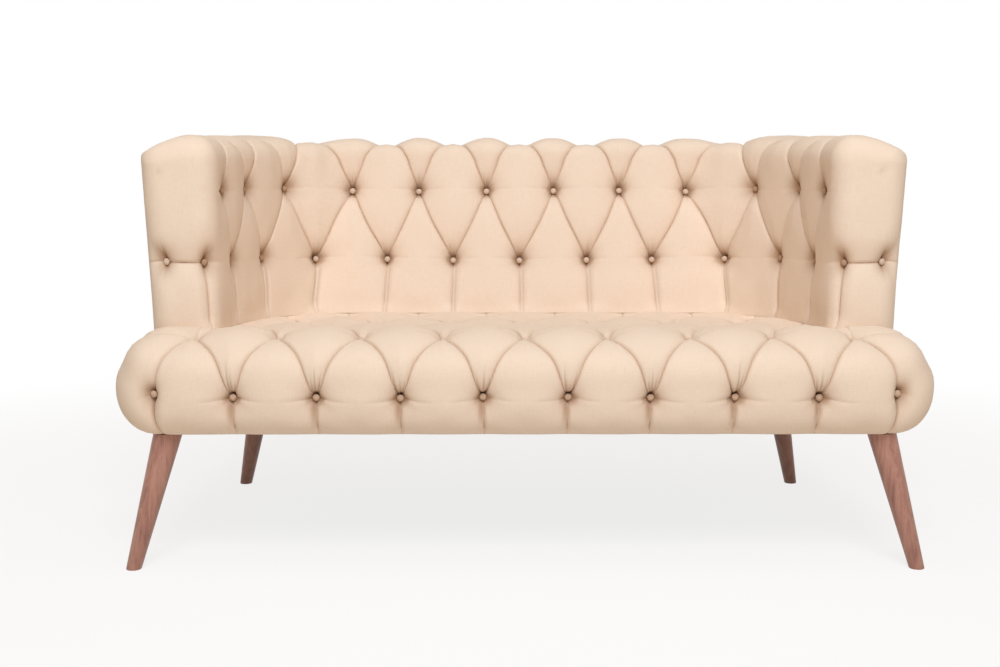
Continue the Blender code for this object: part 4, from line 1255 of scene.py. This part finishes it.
def panel_stations():
    """Places round the outside, from one arm's front to the other's: shares across and along, and outward."""
    turns = [math.pi / 2 * index / corner_count for index in range(corner_count + 1)]
    corner = [(1, 1, Vector((math.cos(turn), math.sin(turn)))) for turn in turns]
    stations = [(1, index / outer_count, Vector((1, 0))) for index in range(outer_count)]
    stations += corner
    stations += [(1 - 2 * index / outer_count, 1, Vector((0, 1))) for index in range(1, outer_count)]
    stations += [(-1, 1, Vector((-outward.x, outward.y))) for _, _, outward in reversed(corner)]
    stations += [(-1, 1 - index / outer_count, Vector((-1, 0))) for index in range(1, outer_count + 1)]
    return stations


def panel_place(station, height):
    """The plan point of a station at a height."""
    across, along, outward = station
    straight = cover_rear - outer_corner_radius - arm_front_line
    middle = Vector(((outer_half(height) - outer_corner_radius) * across, arm_front_line + straight * along))
    return middle + outward * outer_corner_radius


def add_outer_wrap(linen):
    """Plain cloth stretched round the outside, rolled in at its edges."""
    shape = bmesh.new()
    pattern = {}
    stations = panel_stations()
    rows = []
    run = 0
    last = panel_place(stations[0], foot)
    for index, station in enumerate(stations):
        low_place = panel_place(station, foot)
        run += (low_place - last).length
        last = low_place
        rise = crest_height(low_place.y) - top_edge_radius + panel_thickness - foot
        at_end = index in (0, len(stations) - 1)
        ring = []
        for share in bunched(panel_rows):
            height = foot + rise * share
            place = panel_place(station, height)
            puff = 0 if at_end else 1 - math.exp(-min(share, 1 - share) * rise / panel_thickness)
            point = place + station[-1] * (gap + panel_thickness * puff)
            vert = shape.verts.new((point.x, from_front(point.y), lowered(place, height)))
            pattern[vert] = Vector((run, height))
            ring.append(vert)
        rows.append(ring)
    join_rows(shape, rows)
    wrap = add_piece("outer_wrap", shape, linen, lambda vert: pattern[vert])
    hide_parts("outer_panel_left", "outer_panel_right", "outer_panel_back")


def add_seat_rear(linen):
    """The flat cloth across the rear of the seat slab."""
    shape = bmesh.new()
    pattern = {}
    rows = []
    for share in bunched(panel_rows):
        reach, height, _, _ = roll_profile(rim_end * (1 - share))
        half = flat_half + reach
        from_level = min(height - seat_bottom, seat_top - height)
        ring = []
        for at in bunched(outer_count):
            x = half * (2 * at - 1)
            from_edge = min(at, 1 - at) * 2 * half
            puff = 1 - math.exp(-min(from_edge, from_level) / panel_thickness)
            vert = shape.verts.new((x, from_front(sofa_depth) + panel_thickness * puff / 2, height))
            pattern[vert] = Vector((x, height))
            ring.append(vert)
        rows.append(ring)
    join_rows(shape, rows)
    add_piece("seat_rear_panel", shape, linen, lambda vert: pattern[vert])


# Buttons


def button_lift(tree, place, normal):
    """How far a button must stand off its pit's floor to clear the cloth around it."""
    side = normal.orthogonal().normalized()
    other = normal.cross(side)
    lift = 0
    for ring in range(1, button_rings + 1):
        reach = button_radius * ring / button_rings
        back = button_cone * (ring / button_rings - 1)
        for index in range(button_sides):
            turn = 2 * math.pi * index / button_sides
            start = place + (side * math.cos(turn) + other * math.sin(turn)) * reach + normal * pit_reach
            hit = tree.ray_cast(start, -normal)[0]
            if hit is not None:
                lift = max(lift, (hit - place).dot(normal) - back)
    return lift + gap


def add_buttons(name, linen, tree, spots, shade, replaced=()):
    """One button in each pit, pressed in as far as the cloth lets it, and darkened evenly by painted shade.
    """
    for index, (crown, normal) in enumerate(spots):
        place = crown - normal * (pillow_depth + fold_depth + pit_depth + well_depth)
        lift = button_lift(tree, place, normal)
        turned = Vector((0, 0, 1)).rotation_difference(normal).to_matrix().to_4x4()
        shape = turned_shape(button_profile, button_sides)
        painted_shade = shape.verts.layers.float.new("painted_shade")
        flat = {vert: Vector((vert.co.x, vert.co.y)) for vert in shape.verts}
        for vert in shape.verts:
            # Painted shade, the same all over the button.
            vert[painted_shade] = shade
        bmesh.ops.transform(shape, matrix=turned, verts=shape.verts)
        bmesh.ops.translate(shape, vec=place + normal * lift, verts=shape.verts)
        button = add_piece(f"{name}_{index + 1:02d}", shape, linen, lambda vert: flat[vert])
        if index < len(replaced):
            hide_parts(replaced[index])


def seat_spot(place):
    moved = place + seat_shift(place)
    return seat_point(moved, 0)


def wall_spot(place):
    moved = place + wall_shift(place)
    return wall_crown(moved.x, moved.y), wall_normal(moved.x, moved.y)


def seat_front_spots():
    return [seat_spot(rim_place(place, front_row_away)) for place in front_places()]


def seat_side_spots():
    spots = []
    for side in (-1, 1):
        spots += [seat_spot(rim_place(side * place, front_row_away)) for place in side_places()]
    return spots


def seat_top_spots():
    """The tufts of the seat's top that lie in front of the back and between the arms."""
    spots = []
    for row, setback in enumerate(seat_setbacks()):
        count = seat_front_count - 1 if row % 2 == 0 else seat_front_count - 2
        for index in range(count):
            place = Vector(((index - (count - 1) / 2) * tuft_spacing, setback))
            if wall_depths(place.x, place.y, foot)[0] < tiny or setback < arm_front_setback:
                spots.append(seat_spot(place))
    return spots


def node_names(stem, count):
    return [f"{stem}_{index + 1:02d}" for index in range(count)]


def add_all_buttons(linen, seat_tree, wall_tree):
    front = seat_front_spots()
    names = node_names("seat_button", len(front))
    # Each row of buttons gets its own painted shade, for how deep in shade its pits lie.
    add_buttons("seat_front_button", linen, seat_tree, front, seat_button_painted_shade, names)
    add_buttons("seat_top_button", linen, seat_tree, seat_top_spots(), pale_button_painted_shade)
    add_buttons("seat_side_button", linen, seat_tree, seat_side_spots(), seat_button_painted_shade)
    for level, row, rise in (
        ("lower", lower_row_places, lower_tuft_rise), ("upper", upper_row_places, upper_tuft_rise),
    ):
        on_back = [place for place in row if place < corner_place - gap]
        on_arms = [place for place in row if place >= corner_place - gap]
        spots = [wall_spot(Vector((place, rise))) for place in mirrored(on_back)]
        names = node_names(f"back_button_{level}", len(spots))
        add_buttons(f"back_{level}_button", linen, wall_tree, spots, pale_button_painted_shade, names)
        spots = [wall_spot(Vector((place, rise))) for place in mirrored(on_arms)]
        add_buttons(f"arm_{level}_button", linen, wall_tree, spots, arm_button_painted_shade)
    faces = [wall_spot(Vector((side * face_button_place, lower_tuft_rise))) for side in (-1, 1)]
    add_buttons("arm_front_button", linen, wall_tree, faces, pale_button_painted_shade)


# Legs


def add_legs(walnut):
    front = (sofa_width / 2 - front_leg_foot_inset, front_leg_foot_setback, splay_along_share)
    rear = (sofa_width / 2 - rear_leg_foot_inset, sofa_depth - rear_leg_foot_clear, -splay_along_share)
    for end, (half, setback, lean) in (("front", front), ("rear", rear)):
        for side, hand in ((-1, "left"), (1, "right")):
            low = Vector((side * half, from_front(setback), 0))
            shape = turned_shape(leg_profile, leg_sides)
            for vert in shape.verts:
                vert.co += low + Vector((-side * splay_across_share, lean, 0)) * vert.co.z
            name = f"{end}_{hand}"
            leg = add_piece("turned_leg_" + name, shape, walnut)
            leg.data.set_sharp_from_angle(angle=leg_sharp_angle)
            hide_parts("leg_" + name)


# Materials

linen_shades = ((0.35, (0.788, 0.618, 0.476)), (0.50, (0.826, 0.672, 0.538)), (0.65, (0.850, 0.710, 0.585)))
# The brown that painted shade in folds, pits and darts multiplies the linen towards
painted_fold_shade_colour = (0.400, 0.235, 0.110)
linen_surface = {
    "Roughness": 0.88, "Sheen Weight": 0.10, "Sheen Roughness": 0.45, "Specular IOR Level": 0.2,
}
linen_thread = {"Detail": 3.0, "Roughness": 0.55}
yarn_stretch = 9
yarn_scale = 130
slub_stretch = 14
slub_scale = 42
cloth_bump = (0.16, 0.0006)
walnut_shades = ((0.40, (0.25, 0.110, 0.086)), (0.62, (0.40, 0.192, 0.142)), (0.85, (0.50, 0.268, 0.200)))
beech_shades = ((0.40, (0.52, 0.36, 0.22)), (0.62, (0.66, 0.48, 0.31)), (0.85, (0.74, 0.56, 0.38)))
walnut_roughness = 0.42
beech_roughness = 0.6
streak_stretch = (60, 60, 5)
streak_noise = {"Scale": 1.6, "Detail": 6.0, "Roughness": 0.62, "Distortion": 0.6}
pore_stretch = (420, 420, 16)
pore_noise = {"Scale": 2.0, "Detail": 3.0, "Roughness": 0.5}
pore_share = 0.25
wood_bump = (0.12, 0.0004)
webbing_colour = (0.13, 0.11, 0.09)
foam_colour = (0.60, 0.52, 0.30)
dust_cloth_colour = (0.012, 0.012, 0.014)
webbing_scale = 900.0
foam_scale = 1400.0
dust_cloth_scale = 700.0
fibre_noise = {"Detail": 5.0, "Roughness": 0.7}
fibre_stops = (0.35, 0.70)
fibre_pale_share = 1.5
fibre_pale_rise = 0.01
fibre_roughness = 0.95
fibre_bump = (0.3, 0.0004)
spangle_noise = {"Scale": 400.0, "Detail": 3.0}
zinc_shades = ((0.3, (0.55, 0.55, 0.57)), (0.7, (0.78, 0.78, 0.80)))
zinc_surface = {"Metallic": 1.0, "Roughness": 0.35}
no_stretch = (1, 1, 1)


class Graph:
    """A node tree, with short ways to add nodes that feed each other."""

    def __init__(self, holder):
        holder.use_nodes = True
        self.tree = holder.node_tree

    def add(self, kind, values=None, **settings):
        node = self.tree.nodes.new(kind)
        for name, value in settings.items():
            setattr(node, name, value)
        self.feed(node, values or {})
        return node

    def feed(self, node, values):
        """Give a node its inputs, each a plain value or another node's output."""
        for name, value in values.items():
            if isinstance(value, bpy.types.NodeSocket):
                self.tree.links.new(value, node.inputs[name])
            else:
                node.inputs[name].default_value = value

    def maths(self, operation, *sources):
        return self.add("ShaderNodeMath", dict(enumerate(sources)), operation=operation).outputs["Value"]

    def mean(self, first, second):
        return self.maths("MULTIPLY", self.maths("ADD", first, second), 1 / 2)

    def noise(self, place, stretch, values):
        stretched = self.add("ShaderNodeMapping", {"Vector": place, "Scale": stretch}).outputs["Vector"]
        return self.add("ShaderNodeTexNoise", {"Vector": stretched, **values}).outputs["Fac"]

    def ramp(self, level, stops):
        node = self.add("ShaderNodeValToRGB", {"Fac": level})
        elements = node.color_ramp.elements
        while len(elements) < len(stops):
            elements.new(1)
        for element, (place, colour) in zip(elements, stops):
            element.position = place
            element.color = (*colour, 1)
        return node.outputs["Color"]

    def seen(self):
        """One on the rays that show a surface or the sky itself, nothing on those that light others."""
        path = self.add("ShaderNodeLightPath").outputs
        return self.maths("MAXIMUM", path["Is Camera Ray"], path["Is Glossy Ray"])


class Finish(Graph):
    """A material's node tree, round its own shader."""

    def __init__(self, name):
        self.material = bpy.data.materials.new(name)
        super().__init__(self.material)
        self.shader = self.tree.nodes["Principled BSDF"]

    def place(self):
        return self.add("ShaderNodeTexCoord").outputs["Object"]

    def done(self, values, level=None, bump=None):
        """The material, with its shader's values and, where a bump is given, its uneven surface."""
        if bump:
            strength, depth = bump
            bumped = self.add("ShaderNodeBump", {"Strength": strength, "Distance": depth, "Height": level})
            self.feed(self.shader, {"Normal": bumped.outputs["Normal"]})
        self.feed(self.shader, values)
        return self.material


def linen_material():
    """Plain-woven linen: crossed yarns with slubs, and painted shade, browner, down in the folds, pits and
    darts and on the buttons.
    """
    graph = Finish("linen")
    pattern = graph.add("ShaderNodeUVMap", uv_map="pattern").outputs["UV"]
    yarns, slubs = [
        graph.mean(*(
            graph.noise(pattern, stretch, {"Scale": scale, **linen_thread})
            for stretch in ((1, length, 1), (length, 1, 1))
        ))
        for scale, length in ((yarn_scale, yarn_stretch), (slub_scale, slub_stretch))
    ]
    shades = graph.ramp(graph.mean(yarns, slubs), linen_shades)
    # The painted shade that each point of the linen carries.
    painted_shade = graph.add("ShaderNodeAttribute", attribute_name="painted_shade").outputs["Fac"]
    shaded = graph.add(
        "ShaderNodeMix", {0: painted_shade, 6: shades, 7: (*painted_fold_shade_colour, 1)}, data_type="RGBA", blend_type="MULTIPLY",
    )
    surface = {"Base Color": shaded.outputs[2], **linen_surface}
    return graph.done(surface, graph.maths("ADD", yarns, slubs), cloth_bump)


def wood_material(name, shades, roughness):
    """Straight-grained wood: long streaks with finer pores, bent a little along the piece."""
    graph = Finish(name)
    place = graph.place()
    streaks = graph.noise(place, streak_stretch, streak_noise)
    pores = graph.noise(place, pore_stretch, pore_noise)
    grain = graph.maths("MULTIPLY_ADD", pores, pore_share, streaks)
    return graph.done({"Base Color": graph.ramp(grain, shades), "Roughness": roughness}, grain, wood_bump)


def plain_cloth_material(name, colour, scale):
    """Felted or woven cloth of one colour, with a fine uneven surface."""
    graph = Finish(name)
    fibres = graph.noise(graph.place(), no_stretch, {"Scale": scale, **fibre_noise})
    pale = tuple(min(value * fibre_pale_share + fibre_pale_rise, 1) for value in colour)
    shades = graph.ramp(fibres, tuple(zip(fibre_stops, (colour, pale))))
    return graph.done({"Base Color": shades, "Roughness": fibre_roughness}, fibres, fibre_bump)


def zinc_material():
    graph = Finish("zinc_plated_steel")
    spangle = graph.noise(graph.place(), no_stretch, spangle_noise)
    return graph.done({"Base Color": graph.ramp(spangle, zinc_shades), **zinc_surface})


def dress_frame(finishes):
    """Give each frame node that stays the finish of its own slot."""
    slots = {part["node"]: part["material_slot"] for part in frame["record"]["subparts"]}
    for name, node in frame["nodes"].items():
        finish = finishes.get(slots.get(name))
        if finish:
            node.data.materials.clear()
            node.data.materials.append(finish)


# Stage, light and camera

camera_place = (-0.053, -2.5429, 0.6215)
camera_pitch = math.radians(6.07)
camera_yaw = math.radians(-0.25)
camera_lens = 47.82
camera_shift = 0.0058
floor_half = 30.0
floor_colour = (0.92, 0.86, 0.79)
white_from = 0.9
white_to = 2.6
white_near = 0.82
world_strength = 0.23
world_colour = (1.0, 0.77, 0.48)
key_power = 207.0
key_colour = (0.955, 1.0, 1.08)
fill_power = 12.0
top_power = 16.0
plain_white = (1, 1, 1)
lit_middle = (0, 0, 0.4)
key_place = (0.1, -3.9, 4.4)
key_size = (2.8, 2.4)
top_place = (0, -0.5, 3.4)
top_size = (2.4, 1.4)
fill_place = (0.6, -4.0, 1.4)
fill_size = (1.6, 1.6)


def stage_material(name):
    """A pale floor with soft shadows, which turns to plain white away from the sofa."""
    graph = Finish(name)
    through = graph.add("ShaderNodeLightPath").outputs["Is Transmission Ray"]
    place = graph.add("ShaderNodeNewGeometry").outputs["Position"]
    away = graph.add("ShaderNodeVectorMath", {0: place}, operation="LENGTH").outputs["Value"]
    whiter = graph.add(
        "ShaderNodeMapRange",
        {"Value": away, "From Min": white_from, "From Max": white_to, "To Min": white_near, "To Max": 1.0},
        interpolation_type="SMOOTHSTEP",
    ).outputs["Result"]
    share = graph.maths("MULTIPLY", graph.maths("MAXIMUM", graph.seen(), through), whiter)
    white = graph.add("ShaderNodeEmission", {"Color": (*plain_white, 1), "Strength": 1.0}).outputs["Emission"]
    mix = graph.add("ShaderNodeMixShader", {"Fac": share, 1: graph.shader.outputs["BSDF"], 2: white})
    graph.feed(graph.tree.nodes["Material Output"], {"Surface": mix.outputs["Shader"]})
    return graph.done({"Base Color": (*floor_colour, 1), "Roughness": 1.0, "Specular IOR Level": 0.0})


def add_stage():
    bpy.ops.mesh.primitive_plane_add(size=2 * floor_half, location=(0, 0, 0))
    floor = bpy.context.object
    floor.name = "floor"
    floor.data.materials.append(stage_material("pale_floor"))


def add_world():
    """A warm, weak light from all round, seen as plain white."""
    world = bpy.data.worlds.new("studio")
    bpy.context.scene.world = world
    graph = Graph(world)
    graph.tree.nodes.clear()
    light, white = [
        graph.add("ShaderNodeBackground", {"Color": (*colour, 1), "Strength": strength}).outputs["Background"]
        for colour, strength in ((world_colour, world_strength), (plain_white, 1.0))
    ]
    mix = graph.add("ShaderNodeMixShader", {"Fac": graph.seen(), 1: light, 2: white})
    graph.add("ShaderNodeOutputWorld", {"Surface": mix.outputs["Shader"]})


def add_area(name, place, size, power, colour=plain_white):
    data = bpy.data.lights.new(name, "AREA")
    data.shape = "RECTANGLE"
    data.size, data.size_y = size
    data.energy = power
    data.color = colour
    lamp = bpy.data.objects.new(name, data)
    bpy.context.collection.objects.link(lamp)
    lamp.location = place
    lamp.rotation_euler = (Vector(lit_middle) - Vector(place)).to_track_quat("-Z", "Y").to_euler()


def add_lights():
    add_area("key", key_place, key_size, key_power, key_colour)
    add_area("top", top_place, top_size, top_power)
    add_area("fill", fill_place, fill_size, fill_power)


def add_camera():
    data = bpy.data.cameras.new("camera")
    data.lens = camera_lens
    data.shift_y = camera_shift
    camera = bpy.data.objects.new("camera", data)
    bpy.context.collection.objects.link(camera)
    camera.location = camera_place
    camera.rotation_euler = (math.pi / 2 - camera_pitch, 0, camera_yaw)
    bpy.context.scene.camera = camera


def main():
    linen = linen_material()
    walnut = wood_material("walnut", walnut_shades, walnut_roughness)
    dress_frame({
        "linen": linen,
        "walnut": walnut,
        "beech": wood_material("beech", beech_shades, beech_roughness),
        "zinc_plated_steel": zinc_material(),
        "webbing": plain_cloth_material("webbing", webbing_colour, webbing_scale),
        "foam": plain_cloth_material("foam", foam_colour, foam_scale),
        "dust_cloth": plain_cloth_material("dust_cloth", dust_cloth_colour, dust_cloth_scale),
    })
    seat_tree = add_seat(linen)
    wall_tree = add_wall(linen)
    add_outer_wrap(linen)
    add_seat_rear(linen)
    add_all_buttons(linen, seat_tree, wall_tree)
    add_legs(walnut)
    add_stage()
    add_world()
    add_lights()
    add_camera()
    bpy.context.scene.view_settings.view_transform = "Standard"


main()
bpy.context.view_layer.update()
